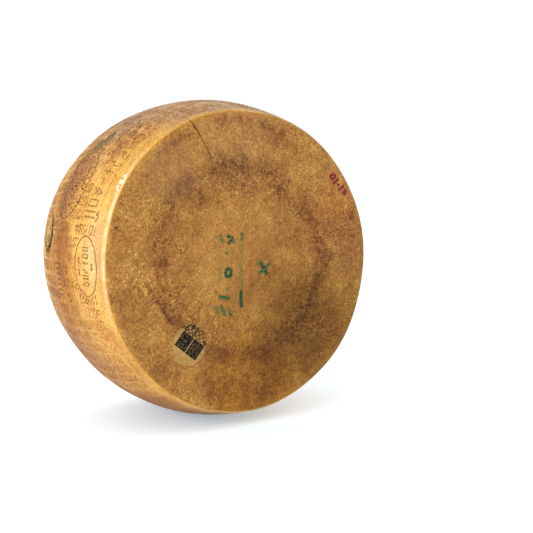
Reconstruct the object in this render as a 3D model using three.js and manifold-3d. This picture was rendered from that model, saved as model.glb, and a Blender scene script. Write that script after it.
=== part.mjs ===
// A whole wheel of hard aged cheese, standing upright on its rim. Millimetres, +Z up.
// The wheel's axis lies along Y, and the face that carries the marks looks towards -Y.
// The origin is on the ground, under the middle of the wheel.
import * as THREE from "three";
import { mergeVertices } from "three/addons/utils/BufferGeometryUtils.js";
import Module from "manifold-3d";

const wasm = await Module();
wasm.setup();

// Driving dimensions of the wheel
const BELLY_RADIUS = 225; // half of the largest diameter, at mid thickness
const FACE_RADIUS = 203; // where side and face would meet if the rim were sharp
const THICKNESS = 235; // from face to face
const RIM_ROUNDING = 10; // radius of the rubbed edge between side and face
const BELLY_POWER = 1.95; // how the side bulges: 2 is a parabola
const OVAL = { share: 0.0073, angle: 124 }; // sag of the young wheel, long way up to the left
const LOBES = { share: 0.0015, angle: 26 }; // slight third lobe
const FLAT_DEPTH = 1.6; // rind pressed flat where the wheel stands

// Slow unevenness of the hand-turned rind: rise, length of the wave, its direction and start
const WAVES = [
  { rise: 0.32, length: 150, along: [0.8, 0.25, 0.55], start: 0.6 },
  { rise: 0.26, length: 118, along: [-0.5, 0.6, 0.62], start: 2.3 },
  { rise: 0.2, length: 92, along: [0.2, -0.75, 0.63], start: 4.4 },
];

// Casein plate pressed into the marked face, and its shallow bed
const PLATE_HALF = { x: 24.2, z: 28 }; // a little oval, as the rind has drawn it
const PLATE_THICKNESS = 1.3;
const PLATE_CENTRE = { x: -87, z: -104 };
const PLATE_SUNK = 0.1; // how far the plate lies under the face
const PLATE_BEVEL = 0.35;
const GAP = 0.3; // between the plate and its bed

// Drying cracks in the marked face, from the rim inwards: place, width and depth
const RIM_CRACK = [
  { x: -90, z: 197, width: 2.2, depth: 17 },
  { x: -83, z: 187, width: 1.8, depth: 7 },
  { x: -76, z: 178, width: 1.5, depth: 3.6 },
  { x: -65, z: 161, width: 1.2, depth: 2.6 },
  { x: -55, z: 143, width: 0.8, depth: 1.4 },
  { x: -51, z: 128, width: 0.2, depth: 0.3 },
];
const FACE_CRACK = [
  { x: 129, z: 31, width: 0.2, depth: 0.3 },
  { x: 141, z: 37, width: 0.9, depth: 1.6 },
  { x: 153, z: 41.5, width: 0.8, depth: 1.3 },
  { x: 166, z: 48, width: 0.2, depth: 0.3 },
];

// Scuffs at the front rim: angle round the axis, length along the rim, width and depth
const RIM_SCUFFS = [
  { angle: 147.4, back: 9, length: 20, width: 11, depth: 2.2 },
  { angle: 20.6, back: 7, length: 17, width: 16, depth: 0.8 },
  { angle: 14.2, back: 7, length: 28, width: 18, depth: 1.1 },
  { angle: 5.3, back: 7, length: 32, width: 18, depth: 0.9 },
];

// How finely the round forms are divided
const ROUND_STEPS = 96;
const SIDE_STEPS = 16;
const RIM_STEPS = 4;
const FACE_STEPS = 4;
const PLATE_STEPS = 48;

const HALF = THICKNESS / 2;
const RIM_SLOPE = Math.atan(((BELLY_RADIUS - FACE_RADIUS) * BELLY_POWER) / HALF);
const degrees = THREE.MathUtils.degToRad;

// Rind finishes
const rind = new THREE.MeshStandardMaterial({ color: 0xb98443, roughness: 0.5, metalness: 0 });
const casein = new THREE.MeshStandardMaterial({ color: 0xc09c67, roughness: 0.45, metalness: 0 });

// A closed mesh as a solid that can be joined and cut
function toSolid(geometry) {
  const bare = geometry.clone();
  bare.deleteAttribute("normal");
  bare.deleteAttribute("uv");
  const merged = mergeVertices(bare, 1e-4);
  const corners = merged.index.array;
  const kept = [];
  for (let i = 0; i < corners.length; i += 3) {
    const [a, b, c] = [corners[i], corners[i + 1], corners[i + 2]];
    if (a !== b && b !== c && c !== a) kept.push(a, b, c);
  }
  return new wasm.Manifold(
    new wasm.Mesh({
      numProp: 3,
      vertProperties: merged.attributes.position.array,
      triVerts: new Uint32Array(kept),
    }),
  );
}

// A cut solid back as the geometry of a mesh
function toGeometry(solid) {
  const { vertProperties, triVerts } = solid.getMesh();
  const geometry = new THREE.BufferGeometry();
  geometry.setAttribute("position", new THREE.BufferAttribute(vertProperties, 3));
  geometry.setIndex(new THREE.BufferAttribute(triVerts, 1));
  geometry.computeVertexNormals();
  return geometry;
}

// Radius of the bulging side at a distance from mid thickness
function sideRadius(y) {
  const share = Math.pow(Math.abs(y) / HALF, BELLY_POWER);
  return BELLY_RADIUS - (BELLY_RADIUS - FACE_RADIUS) * share;
}

// Share by which the wheel is larger or smaller than a true circle at an angle
function roundness(angle) {
  const oval = OVAL.share * Math.cos(2 * (angle - degrees(OVAL.angle)));
  const lobes = LOBES.share * Math.cos(3 * (angle - degrees(LOBES.angle)));
  return 1 + oval + lobes;
}

// Height of the slow unevenness at a point of the surface
function waveHeight(point) {
  let height = 0;
  for (const { rise, length, along, start } of WAVES) {
    const way = point.dot(new THREE.Vector3(...along));
    height += rise * Math.sin((2 * Math.PI * way) / length + start);
  }
  return height;
}

// Outline of the marked face's half, from the middle of the face to mid thickness. The rounding
// touches the flat face and the slope that the side has at the rim.
function halfOutline() {
  const run = (RIM_ROUNDING * (1 - Math.sin(RIM_SLOPE))) / Math.cos(RIM_SLOPE);
  const arcRadius = FACE_RADIUS + run * Math.sin(RIM_SLOPE) - RIM_ROUNDING * Math.cos(RIM_SLOPE);
  const arcY = HALF - RIM_ROUNDING;
  const sideY = HALF - run * Math.cos(RIM_SLOPE);
  const points = [];
  for (let i = 0; i < FACE_STEPS; i++) {
    points.push(new THREE.Vector2((arcRadius * i) / FACE_STEPS, -HALF));
  }
  for (let i = 0; i <= RIM_STEPS; i++) {
    const turn = ((Math.PI / 2 - RIM_SLOPE) * i) / RIM_STEPS;
    const r = arcRadius + RIM_ROUNDING * Math.sin(turn);
    points.push(new THREE.Vector2(r, -arcY - RIM_ROUNDING * Math.cos(turn)));
  }
  for (let i = 1; i <= SIDE_STEPS / 2; i++) {
    const y = sideY * (1 - i / (SIDE_STEPS / 2));
    points.push(new THREE.Vector2(sideRadius(y), -y));
  }
  return points;
}

// The bare wheel round its own axis: turned, then made as uneven as a real one
function wheelGeometry() {
  const front = halfOutline();
  const back = front.slice(0, -1).reverse().map((p) => new THREE.Vector2(p.x, -p.y));
  const geometry = new THREE.LatheGeometry([...front, ...back], ROUND_STEPS);
  const position = geometry.attributes.position;
  const normal = geometry.attributes.normal;
  const point = new THREE.Vector3();
  const outwards = new THREE.Vector3();
  for (let i = 0; i < position.count; i++) {
    point.fromBufferAttribute(position, i);
    outwards.fromBufferAttribute(normal, i);
    const radius = Math.hypot(point.x, point.z);
    const share = radius < 1e-6 ? 1 : roundness(Math.atan2(point.z, point.x));
    point.x *= share;
    point.z *= share;
    if (radius < 1e-6) outwards.set(0, Math.sign(point.y), 0);
    point.addScaledVector(outwards, waveHeight(point));
    position.setXYZ(i, point.x, point.y, point.z);
  }
  return geometry;
}

// A wedge with a V section that follows a crack across the marked face
function crackWedge(path) {
  const above = 1;
  const vertices = [];
  path.forEach(({ x, z, width, depth }, i) => {
    const before = path[Math.max(i - 1, 0)];
    const after = path[Math.min(i + 1, path.length - 1)];
    const way = new THREE.Vector2(after.x - before.x, after.z - before.z).normalize();
    const half = ((width / 2) * (depth + above)) / depth;
    vertices.push(x - way.y * half, -HALF - above, z + way.x * half);
    vertices.push(x + way.y * half, -HALF - above, z - way.x * half);
    vertices.push(x, -HALF + depth, z);
  });
  const last = 3 * (path.length - 1);
  const faces = [0, 2, 1, last, last + 1, last + 2];
  for (let i = 0; i < last; i += 3) {
    for (let k = 0; k < 3; k++) {
      const [a, b] = [i + k, i + ((k + 1) % 3)];
      faces.push(a, b, a + 3, b, b + 3, a + 3);
    }
  }
  const geometry = new THREE.BufferGeometry();
  geometry.setAttribute("position", new THREE.Float32BufferAttribute(vertices, 3));
  geometry.setIndex(faces);
  return geometry;
}

// A flattened lump that takes a shallow scuff out of the front rim
function scuffLump({ angle, back, length, width, depth }) {
  const turn = degrees(angle);
  const y = -HALF + back;
  const radius = sideRadius(y) * roundness(turn);
  const slope = Math.atan2(sideRadius(y + 1) - sideRadius(y), 1);
  const outwards = new THREE.Vector3(
    Math.cos(turn) * Math.cos(slope),
    -Math.sin(slope),
    Math.sin(turn) * Math.cos(slope),
  );
  const round = new THREE.Vector3(-Math.sin(turn), 0, Math.cos(turn));
  const across = new THREE.Vector3().crossVectors(round, outwards);
  // A cap of an ellipsoid: its centre lies outside, so that only the cap's depth cuts in
  const reach = 2 * depth;
  const spread = 2 / Math.sqrt(3); // the cap at half the reach is this much narrower
  const centre = new THREE.Vector3(Math.cos(turn) * radius, y, Math.sin(turn) * radius);
  centre.addScaledVector(outwards, waveHeight(centre) + reach - depth);
  const place = new THREE.Matrix4().makeBasis(
    outwards.multiplyScalar(reach),
    across.multiplyScalar((width / 2) * spread),
    round.multiplyScalar((length / 2) * spread),
  );
  return new THREE.IcosahedronGeometry(1, 1).applyMatrix4(place.setPosition(centre));
}

// The plate, with a small bevel round its outer edge, and its middle at the origin
function plateGeometry() {
  const half = PLATE_THICKNESS / 2;
  const outline = [
    new THREE.Vector2(0, -half),
    new THREE.Vector2(1 - PLATE_BEVEL / PLATE_HALF.x, -half),
    new THREE.Vector2(1, -half + PLATE_BEVEL),
    new THREE.Vector2(1, half),
    new THREE.Vector2(0, half),
  ];
  return new THREE.LatheGeometry(outline, PLATE_STEPS).scale(PLATE_HALF.x, 1, PLATE_HALF.z);
}

// What is hollowed out of the face for the plate
function bedGeometry() {
  const bottom = PLATE_THICKNESS / 2 + GAP;
  const deep = 20;
  const bed = new THREE.CylinderGeometry(1, 1, deep, PLATE_STEPS);
  bed.scale(PLATE_HALF.x + GAP, 1, PLATE_HALF.z + GAP);
  return bed.translate(0, bottom - deep / 2, 0);
}

// Where the plate lies: its outer side just under the face's own height there
const plateMiddle = new THREE.Vector3(PLATE_CENTRE.x, -HALF, PLATE_CENTRE.z);
plateMiddle.y += PLATE_SUNK + PLATE_THICKNESS / 2 - waveHeight(plateMiddle);

// Everything that is cut from the bare wheel
function cutters(lowest) {
  const deep = 20;
  const flat = new THREE.BoxGeometry(BELLY_RADIUS, THICKNESS, deep);
  flat.translate(0, 0, lowest + FLAT_DEPTH - deep / 2);
  const bed = bedGeometry().translate(plateMiddle.x, plateMiddle.y, plateMiddle.z);
  const cracks = [RIM_CRACK, FACE_CRACK].map(crackWedge);
  return [flat, bed, ...cracks, ...RIM_SCUFFS.map(scuffLump)];
}

// The wheel is cut, then stood on the ground with its middle over the origin
let wheel = toSolid(wheelGeometry());
const { min: lowCorner } = wheel.boundingBox();
for (const cutter of cutters(lowCorner[2])) {
  wheel = wheel.subtract(toSolid(cutter));
}

const wheelMesh = new THREE.Mesh(toGeometry(wheel), rind);
wheelMesh.name = "cheese_wheel";
const plateMesh = new THREE.Mesh(toGeometry(toSolid(plateGeometry())), casein);
plateMesh.name = "casein_plate";
plateMesh.position.copy(plateMiddle);

const cheese = new THREE.Group();
cheese.add(wheelMesh, plateMesh);
const reach = new THREE.Box3().setFromObject(wheelMesh);
const middle = reach.getCenter(new THREE.Vector3());
cheese.position.set(-middle.x, -middle.y, -reach.min.z);

export default cheese;
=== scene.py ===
"""A whole wheel of hard aged cheese, standing on its rim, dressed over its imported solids."""
import math
import random

import bpy
from mathutils import Matrix, Vector


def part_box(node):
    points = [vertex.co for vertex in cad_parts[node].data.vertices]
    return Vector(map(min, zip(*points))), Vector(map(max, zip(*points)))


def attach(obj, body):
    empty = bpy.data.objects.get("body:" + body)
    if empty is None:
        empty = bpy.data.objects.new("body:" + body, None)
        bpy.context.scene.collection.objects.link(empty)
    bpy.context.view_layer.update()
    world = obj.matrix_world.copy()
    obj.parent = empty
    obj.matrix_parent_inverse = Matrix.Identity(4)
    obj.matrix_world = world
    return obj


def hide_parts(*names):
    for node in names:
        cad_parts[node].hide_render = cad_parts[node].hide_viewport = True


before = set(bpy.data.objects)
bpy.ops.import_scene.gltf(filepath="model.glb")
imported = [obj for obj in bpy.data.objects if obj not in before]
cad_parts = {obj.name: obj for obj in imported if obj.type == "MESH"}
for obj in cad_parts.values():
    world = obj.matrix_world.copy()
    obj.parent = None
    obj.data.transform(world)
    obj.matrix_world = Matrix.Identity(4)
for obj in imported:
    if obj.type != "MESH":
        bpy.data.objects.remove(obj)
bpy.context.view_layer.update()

# The wheel: curd pressed in a mould, brined, and aged on a shelf until its side bulges and its form
# is a little out of round. It is one solid piece under a natural rind, oiled and brushed, with two
# drying cracks in the marked face, and a torn spot and shallow flats at the front rim.
MM = 0.001
BELLY_RADIUS = 225 * MM
FACE_RADIUS = 203 * MM
THICKNESS = 235 * MM
RIM_ROUNDING = 10 * MM
# The power by which the radius falls from the belly to the faces
BELLY_POWER = 1.95
# Shares of the radius by which the wheel is out of round, and the angle of the long way of each
OVAL = {"share": 0.0073, "angle": math.radians(124)}
LOBES = {"share": 0.0015, "angle": math.radians(26)}
# Slow waves of the whole skin, then lumps and pebbles that mostly go inwards: a noise at its level
# leaves the skin where it is
WAVES = [
    {"rise": 0.32 * MM, "length": 150 * MM, "along": (0.8, 0.25, 0.55), "start": 0.6},
    {"rise": 0.26 * MM, "length": 118 * MM, "along": (-0.5, 0.6, 0.62), "start": 2.3},
    {"rise": 0.20 * MM, "length": 92 * MM, "along": (0.2, -0.75, 0.63), "start": 4.4},
]
LUMP_SIZE = 17 * MM
LUMP_DEPTH = 0.45 * MM
PEBBLE_SIZE = 7 * MM
PEBBLE_DEPTH = 0.16 * MM
NOISE_LEVEL = 0.72
# The side is sunk to leave room for the marks on it, from and fully at a distance behind a face
SIDE_SUNK = 0.36 * MM
SUNK_FROM = 8 * MM
SUNK_FULL = 20 * MM

HALF = THICKNESS / 2
RIM_SLOPE = math.atan((BELLY_RADIUS - FACE_RADIUS) * BELLY_POWER / HALF)

# The plate's bed shows where the wheel's axis lies in the frame
PLATE_ASIDE = Vector((-87 * MM, 0, -104 * MM))
plate_low, plate_high = (Vector(corner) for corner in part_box("casein_plate"))
plate_middle = (plate_low + plate_high) / 2
plate_half = (plate_high - plate_low) / 2
AXIS = Vector((plate_middle.x - PLATE_ASIDE.x, 0, plate_middle.z - PLATE_ASIDE.z))

# Fineness of the skin, and the angle from which an edge is sharp
ROUND_STEPS = 480
FRONT_STEP = 2.5 * MM
SIDE_STEP = 2.6 * MM
BACK_STEP = 8 * MM
RIM_STEPS = 6
SEAM_GAP = 0.01 * MM
WHEEL_SHARP = math.radians(42)


def side_radius(y):
    """Radius of the bulging side at a distance y from mid thickness."""
    return BELLY_RADIUS - (BELLY_RADIUS - FACE_RADIUS) * (abs(y) / HALF) ** BELLY_POWER


def roundness(angle):
    """Share by which the wheel is larger or smaller than a true circle at an angle."""
    oval = OVAL["share"] * math.cos(2 * (angle - OVAL["angle"]))
    return 1 + oval + LOBES["share"] * math.cos(3 * (angle - LOBES["angle"]))


def half_outline(face_step):
    """Points (radius, distance from mid thickness) from the middle of a face to the side's start."""
    run = RIM_ROUNDING * (1 - math.sin(RIM_SLOPE)) / math.cos(RIM_SLOPE)
    arc_radius = FACE_RADIUS + run * math.sin(RIM_SLOPE) - RIM_ROUNDING * math.cos(RIM_SLOPE)
    steps = round(arc_radius / face_step)
    points = [(arc_radius * i / steps, HALF) for i in range(steps)]
    for i in range(RIM_STEPS + 1):
        turn = (math.pi / 2 - RIM_SLOPE) * i / RIM_STEPS
        height = HALF - RIM_ROUNDING + RIM_ROUNDING * math.cos(turn)
        points.append((arc_radius + RIM_ROUNDING * math.sin(turn), height))
    return points, HALF - run * math.cos(RIM_SLOPE)


def outline_mesh():
    """The wheel's outline from the front face's middle to the back face's, as loose points."""
    front, side_reach = half_outline(FRONT_STEP)
    back, _ = half_outline(BACK_STEP)
    steps = round(2 * side_reach / SIDE_STEP)
    heights = [side_reach * (2 * i / steps - 1) for i in range(1, steps)]
    points = [(r, -y, 0) for r, y in front]
    points += [(side_radius(y), y, 0) for y in heights]
    points += [(r, y, 0) for r, y in reversed(back)]
    mesh = bpy.data.meshes.new("wheel_outline")
    mesh.from_pydata(points, [], [])
    return mesh


def feed(node, inputs):
    """Sets a node's inputs, by name or number, or as a list for those in use. Each gets a value, the
    output that feeds it, or a node, which stands for its first output in use."""
    if isinstance(inputs, list):
        inputs = dict(zip([i for i, socket in enumerate(node.inputs) if socket.enabled], inputs))
    for key, value in inputs.items():
        if isinstance(value, bpy.types.Node):
            value = next(output for output in value.outputs if output.enabled)
        if isinstance(value, bpy.types.NodeSocket):
            node.id_data.links.new(value, node.inputs[key])
        else:
            node.inputs[key].default_value = value


def add(tree, kind, inputs=None, stops=None, **settings):
    """Adds one node with its settings, its inputs and the stops of a colour ramp."""
    made = tree.nodes.new(kind)
    for name, value in settings.items():
        setattr(made, name, value)
    feed(made, inputs or {})
    if stops:
        steps = made.color_ramp.elements
        steps.remove(steps[1])
        steps[0].position, steps[0].color = stops[0]
        for place, shade in stops[1:]:
            steps.new(place).color = shade
    return made


def geometry_tree(name, sockets):
    """An empty Geometry Nodes tree with named inputs, given as name to kind of socket."""
    tree = bpy.data.node_groups.new(name, "GeometryNodeTree")
    tree.interface.new_socket("Geometry", in_out="INPUT", socket_type="NodeSocketGeometry")
    for label, kind in sockets.items():
        tree.interface.new_socket(label, in_out="INPUT", socket_type="NodeSocket" + kind)
    tree.interface.new_socket("Geometry", in_out="OUTPUT", socket_type="NodeSocketGeometry")
    return tree


def dressed_tree(tree, geometry, material):
    """Ends a tree: its instances are made real, shaded smooth and given their material."""
    real = add(tree, "GeometryNodeRealizeInstances", [geometry])
    smooth = add(tree, "GeometryNodeSetShadeSmooth", [real])
    dressed = add(tree, "GeometryNodeSetMaterial", {"Geometry": smooth, "Material": material})
    add(tree, "NodeGroupOutput", [dressed])
    return tree


def in_scene(name, data):
    """A new object with this data, put in the scene at the origin."""
    made = bpy.data.objects.new(name, data)
    bpy.context.scene.collection.objects.link(made)
    return made


def settled(start):
    """An object's evaluated mesh as a plain object at the origin. The object and its mesh go."""
    bpy.context.view_layer.update()
    evaluated = start.evaluated_get(bpy.context.evaluated_depsgraph_get())
    mesh = bpy.data.meshes.new_from_object(evaluated)
    name, first = start.name, start.data
    bpy.data.objects.remove(start)
    bpy.data.meshes.remove(first)
    mesh.name = name
    return in_scene(name, mesh)


def grown(name, mesh, tree, values):
    """What a tree with these input values makes of a mesh, as a plain object."""
    start = in_scene(name, mesh)
    modifier = start.modifiers.new(tree.name, "NODES")
    modifier.node_group = tree
    for item in tree.interface.items_tree:
        if item.in_out == "INPUT" and item.name in values:
            modifier[item.identifier] = values[item.name]
    return settled(start)


def turned_wheel_tree():
    """Turns an outline round the Y axis, draws it out of round and gives it an uneven skin."""
    sizes = ["Oval share", "Oval angle", "Lobe share", "Lobe angle"]
    sizes += ["Lump size", "Lump depth", "Pebble size", "Pebble depth", "Side sunk"]
    waves = [f"Wave {i + 1}" for i in range(len(WAVES))]
    sockets = {"Round steps": "Int", "Rind": "Material", **{size: "Float" for size in sizes}}
    for wave in waves:
        sockets.update({wave + " rise": "Float", wave + " length": "Float"})
        sockets.update({wave + " start": "Float", wave + " along": "Vector"})
    tree = geometry_tree("turned wheel", sockets)
    given = add(tree, "NodeGroupInput").outputs

    # A sheet of points, one column for each step round and one row for each outline point
    count = add(tree, "GeometryNodeAttributeDomainSize", [given["Geometry"]])
    columns = add(tree, "ShaderNodeMath", [given["Round steps"], 1], operation="ADD")
    sheet = add(tree, "GeometryNodeMeshGrid", {"Size X": 1, "Size Y": 1, "Vertices X": columns,
                                               "Vertices Y": count})
    position = add(tree, "GeometryNodeInputPosition")
    across = add(tree, "ShaderNodeSeparateXYZ", [position]).outputs
    turn = add(tree, "ShaderNodeMath", [across["X"], math.tau], operation="MULTIPLY")
    last = add(tree, "ShaderNodeMath", [count, 1], operation="SUBTRACT")
    share = add(tree, "ShaderNodeMath", [across["Y"], 0.5], operation="ADD")
    row = add(tree, "ShaderNodeMath", [share, last], operation="MULTIPLY")
    whole = add(tree, "FunctionNodeFloatToInt", [row], rounding_mode="ROUND")
    outline = add(tree, "GeometryNodeSampleIndex",
                  {"Geometry": given["Geometry"], "Value": position, "Index": whole},
                  data_type="FLOAT_VECTOR")
    outline = add(tree, "ShaderNodeSeparateXYZ", [outline]).outputs

    # The out-of-round share: an oval and a slight third lobe
    stretch = 1
    for name, times in (("Oval", 2), ("Lobe", 3)):
        from_long = add(tree, "ShaderNodeMath", [turn, given[name + " angle"]], operation="SUBTRACT")
        wave = add(tree, "ShaderNodeMath", [from_long, times], operation="MULTIPLY")
        wave = add(tree, "ShaderNodeMath", [wave], operation="COSINE")
        stretch = add(tree, "ShaderNodeMath", [wave, given[name + " share"], stretch],
                      operation="MULTIPLY_ADD")
    radius = add(tree, "ShaderNodeMath", [outline["X"], stretch], operation="MULTIPLY")
    cosine = add(tree, "ShaderNodeMath", [turn], operation="COSINE")
    sine = add(tree, "ShaderNodeMath", [turn], operation="SINE")
    x = add(tree, "ShaderNodeMath", [radius, cosine], operation="MULTIPLY")
    z = add(tree, "ShaderNodeMath", [radius, sine], operation="MULTIPLY")
    place = add(tree, "ShaderNodeCombineXYZ", [x, outline["Y"], z])
    turned = add(tree, "GeometryNodeSetPosition", {"Geometry": sheet, "Position": place})
    closed = add(tree, "GeometryNodeMergeByDistance", {"Geometry": turned, "Distance": SEAM_GAP})

    # The side a little lower
    inside = add(tree, "ShaderNodeSeparateXYZ", [position]).outputs["Y"]
    inside = add(tree, "ShaderNodeMath", [inside], operation="ABSOLUTE")
    inside = add(tree, "ShaderNodeMapRange", [inside, HALF - SUNK_FROM, HALF - SUNK_FULL, 0, -1],
                 interpolation_type="SMOOTHSTEP")
    rise = add(tree, "ShaderNodeMath", [inside, given["Side sunk"]], operation="MULTIPLY")

    # Slow waves, then lumps and pebbles, along the surface's own direction
    for wave in waves:
        way = add(tree, "ShaderNodeVectorMath", [position, given[wave + " along"]],
                  operation="DOT_PRODUCT")
        turns = add(tree, "ShaderNodeMath", [math.tau, given[wave + " length"]], operation="DIVIDE")
        phase = add(tree, "ShaderNodeMath", [way, turns, given[wave + " start"]],
                    operation="MULTIPLY_ADD")
        swell = add(tree, "ShaderNodeMath", [phase], operation="SINE")
        rise = add(tree, "ShaderNodeMath", [swell, given[wave + " rise"], rise],
                   operation="MULTIPLY_ADD")
    for name, detail in (("Lump", 2), ("Pebble", 1)):
        fineness = add(tree, "ShaderNodeMath", [1, given[name + " size"]], operation="DIVIDE")
        noise = add(tree, "ShaderNodeTexNoise", {"Scale": fineness, "Detail": detail})
        inwards = add(tree, "ShaderNodeMath", [noise, NOISE_LEVEL], operation="SUBTRACT")
        rise = add(tree, "ShaderNodeMath", [inwards, given[name + " depth"], rise],
                   operation="MULTIPLY_ADD")
    normal = add(tree, "GeometryNodeInputNormal")
    offset = add(tree, "ShaderNodeVectorMath", [normal, rise], operation="SCALE")
    flipped = add(tree, "GeometryNodeFlipFaces", [closed])
    uneven = add(tree, "GeometryNodeSetPosition", {"Geometry": flipped, "Offset": offset})
    return dressed_tree(tree, uneven, given["Rind"])


rind = bpy.data.materials.new("aged natural rind")
wheel_sizes = {
    "Round steps": ROUND_STEPS, "Rind": rind,
    "Oval share": OVAL["share"], "Oval angle": OVAL["angle"],
    "Lobe share": LOBES["share"], "Lobe angle": LOBES["angle"],
    "Lump size": LUMP_SIZE, "Lump depth": LUMP_DEPTH,
    "Pebble size": PEBBLE_SIZE, "Pebble depth": PEBBLE_DEPTH, "Side sunk": SIDE_SUNK,
}
for i, wave in enumerate(WAVES):
    for key, value in wave.items():
        wheel_sizes[f"Wave {i + 1} {key}"] = value
wheel = grown("cheese_wheel_rind", outline_mesh(), turned_wheel_tree(), wheel_sizes)
wheel.data.transform(Matrix.Translation(AXIS))

# Drying cracks in the marked face, from the rim inwards: (x, z, width, depth) in millimetres
RIM_CRACK = [(-90, 197, 2.2, 17), (-83, 187, 1.8, 7), (-76, 178, 1.5, 3.6),
             (-65, 161, 1.2, 2.6), (-55, 143, 0.8, 1.4), (-51, 128, 0.2, 0.3)]
FACE_CRACK = [(129, 31, 0.2, 0.3), (141, 37, 0.9, 1.6), (153, 41.5, 0.8, 1.3), (166, 48, 0.2, 0.3)]
CRACK_STEP = 2.2
CRACK_JITTER = 0.35
CRACK_WIDTHS = (0.7, 1.25)
CRACK_ABOVE = 1
CRACK_SEED = 11
# The torn spot and the flats at the front rim: angle, distance behind the face, length, width, depth
TORN_SPOT = (148.8, 7.2, 25, 10, 2.2)
RIM_FLATS = [(20.6, 7, 17, 16, 0.8), (14.2, 7, 28, 18, 1.1), (5.3, 7, 32, 18, 0.9)]
SCUFF_ROUGHNESS = 0.06
SCUFF_RINGS = 14
SCUFF_SIDES = 28
# The flat that the wheel stands on is cut by a box below the ground, the plate's bed by an oval
GROUND_CUT = ((-0.1, -0.1, -0.05), (0.1, 0.1, 0))
BED_CLEARANCE = 0.08 * MM
BED_DEEPER = 0.2 * MM
BED_ABOVE = 10 * MM
PLATE_SIDES = 96


def shape(name, points, faces, material):
    """A plain mesh object from points in metres, measured from the wheel's axis."""
    mesh = bpy.data.meshes.new(name)
    mesh.from_pydata([Vector(p) + AXIS for p in points], [], faces)
    mesh.materials.append(material)
    return in_scene(name, mesh)


def crack_cutter(name, path, draw):
    """A V-shaped cutter that follows a crack, its way and width roughened by random draws."""
    fine = [path[0]]
    for start, end in zip(path, path[1:]):
        steps = max(1, round(math.dist(start[:2], end[:2]) / CRACK_STEP))
        for i in range(1, steps + 1):
            x, z, width, depth = (a + (b - a) * i / steps for a, b in zip(start, end))
            x += draw.uniform(-CRACK_JITTER, CRACK_JITTER)
            z += draw.uniform(-CRACK_JITTER, CRACK_JITTER)
            fine.append((x, z, width * draw.uniform(*CRACK_WIDTHS), depth))
    points = []
    for i, (x, z, width, depth) in enumerate(fine):
        before, after = fine[max(i - 1, 0)], fine[min(i + 1, len(fine) - 1)]
        way = Vector((after[0] - before[0], after[1] - before[1])).normalized()
        half = width / 2 * (depth + CRACK_ABOVE) / depth
        points += [(x - way.y * half, -CRACK_ABOVE, z + way.x * half),
                   (x + way.y * half, -CRACK_ABOVE, z - way.x * half), (x, depth, z)]
    last = len(points) - 3
    faces = [(0, 2, 1), (last, last + 1, last + 2)]
    for i in range(0, last, 3):
        for a, b in ((i, i + 1), (i + 1, i + 2), (i + 2, i)):
            faces.append((a, b, b + 3, a + 3))
    return shape(name, [(x * MM, y * MM - HALF, z * MM) for x, y, z in points], faces, crack_walls)


def ring_faces(rings, sides):
    """Faces of a closed shape whose points are a first one, rings of so many sides, and a last one."""
    end = 1 + rings * sides
    faces = []
    for i in range(sides):
        after = (i + 1) % sides
        faces.append((0, 1 + i, 1 + after))
        for start in range(1, end - sides, sides):
            a, b = start + i, start + after
            faces.append((a, a + sides, b + sides, b))
        faces.append((end, end - sides + after, end - sides + i))
    return faces


def scuff_lump(name, angle, back, length, width, depth, material, draw):
    """A flattened, roughened lump that takes a shallow scuff out of the front rim."""
    turn = math.radians(angle)
    y = -HALF + back * MM
    radius = side_radius(y) * roundness(turn)
    slope = math.atan((side_radius(y + MM) - side_radius(y)) / MM)
    outwards = Vector((math.cos(turn) * math.cos(slope), -math.sin(slope),
                       math.sin(turn) * math.cos(slope)))
    along = Vector((-math.sin(turn), 0, math.cos(turn)))
    across = along.cross(outwards)
    middle = Vector((math.cos(turn) * radius, y, math.sin(turn) * radius)) + outwards * depth * MM
    # The rind cuts the lump a quarter of its height below its middle, where it is narrower by this
    spread = 2 / math.sqrt(3)
    points = [middle + outwards * 2 * depth * MM]
    for ring in range(1, SCUFF_RINGS):
        lift = math.pi * ring / SCUFF_RINGS
        for side in range(SCUFF_SIDES):
            bearing = math.tau * side / SCUFF_SIDES
            rough = 1 + draw.uniform(-SCUFF_ROUGHNESS, SCUFF_ROUGHNESS)
            points.append(middle + outwards * 2 * depth * MM * math.cos(lift) * rough
                          + along * length / 2 * MM * spread * math.sin(lift) * math.cos(bearing) * rough
                          + across * width / 2 * MM * spread * math.sin(lift) * math.sin(bearing) * rough)
    points.append(middle - outwards * 2 * depth * MM)
    faces = [(first, *reversed(rest)) for first, *rest in ring_faces(SCUFF_RINGS - 1, SCUFF_SIDES)]
    return shape(name, points, faces, material)


def slab(name, low, high):
    """A box between two corners in the frame."""
    corners = [(x, y, z) for z in (low[2], high[2]) for y in (low[1], high[1]) for x in (low[0], high[0])]
    faces = [(0, 2, 3, 1), (4, 5, 7, 6), (0, 1, 5, 4), (2, 6, 7, 3), (0, 4, 6, 2), (1, 3, 7, 5)]
    return shape(name, [Vector(c) - AXIS for c in corners], faces, rind)


def oval_plug(name, half_width, half_height, near, far):
    """An upright oval cylinder along Y round the plate's middle."""
    points = []
    for y in (near, far):
        for i in range(PLATE_SIDES):
            turn = math.tau * i / PLATE_SIDES
            points.append((plate_middle.x + half_width * math.cos(turn), y,
                           plate_middle.z + half_height * math.sin(turn)))
    faces = [tuple(range(PLATE_SIDES)), tuple(reversed(range(PLATE_SIDES, 2 * PLATE_SIDES)))]
    for i in range(PLATE_SIDES):
        after = (i + 1) % PLATE_SIDES
        faces.append((i, i + PLATE_SIDES, after + PLATE_SIDES, after))
    return shape(name, [Vector(p) - AXIS for p in points], faces, rind)


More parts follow.
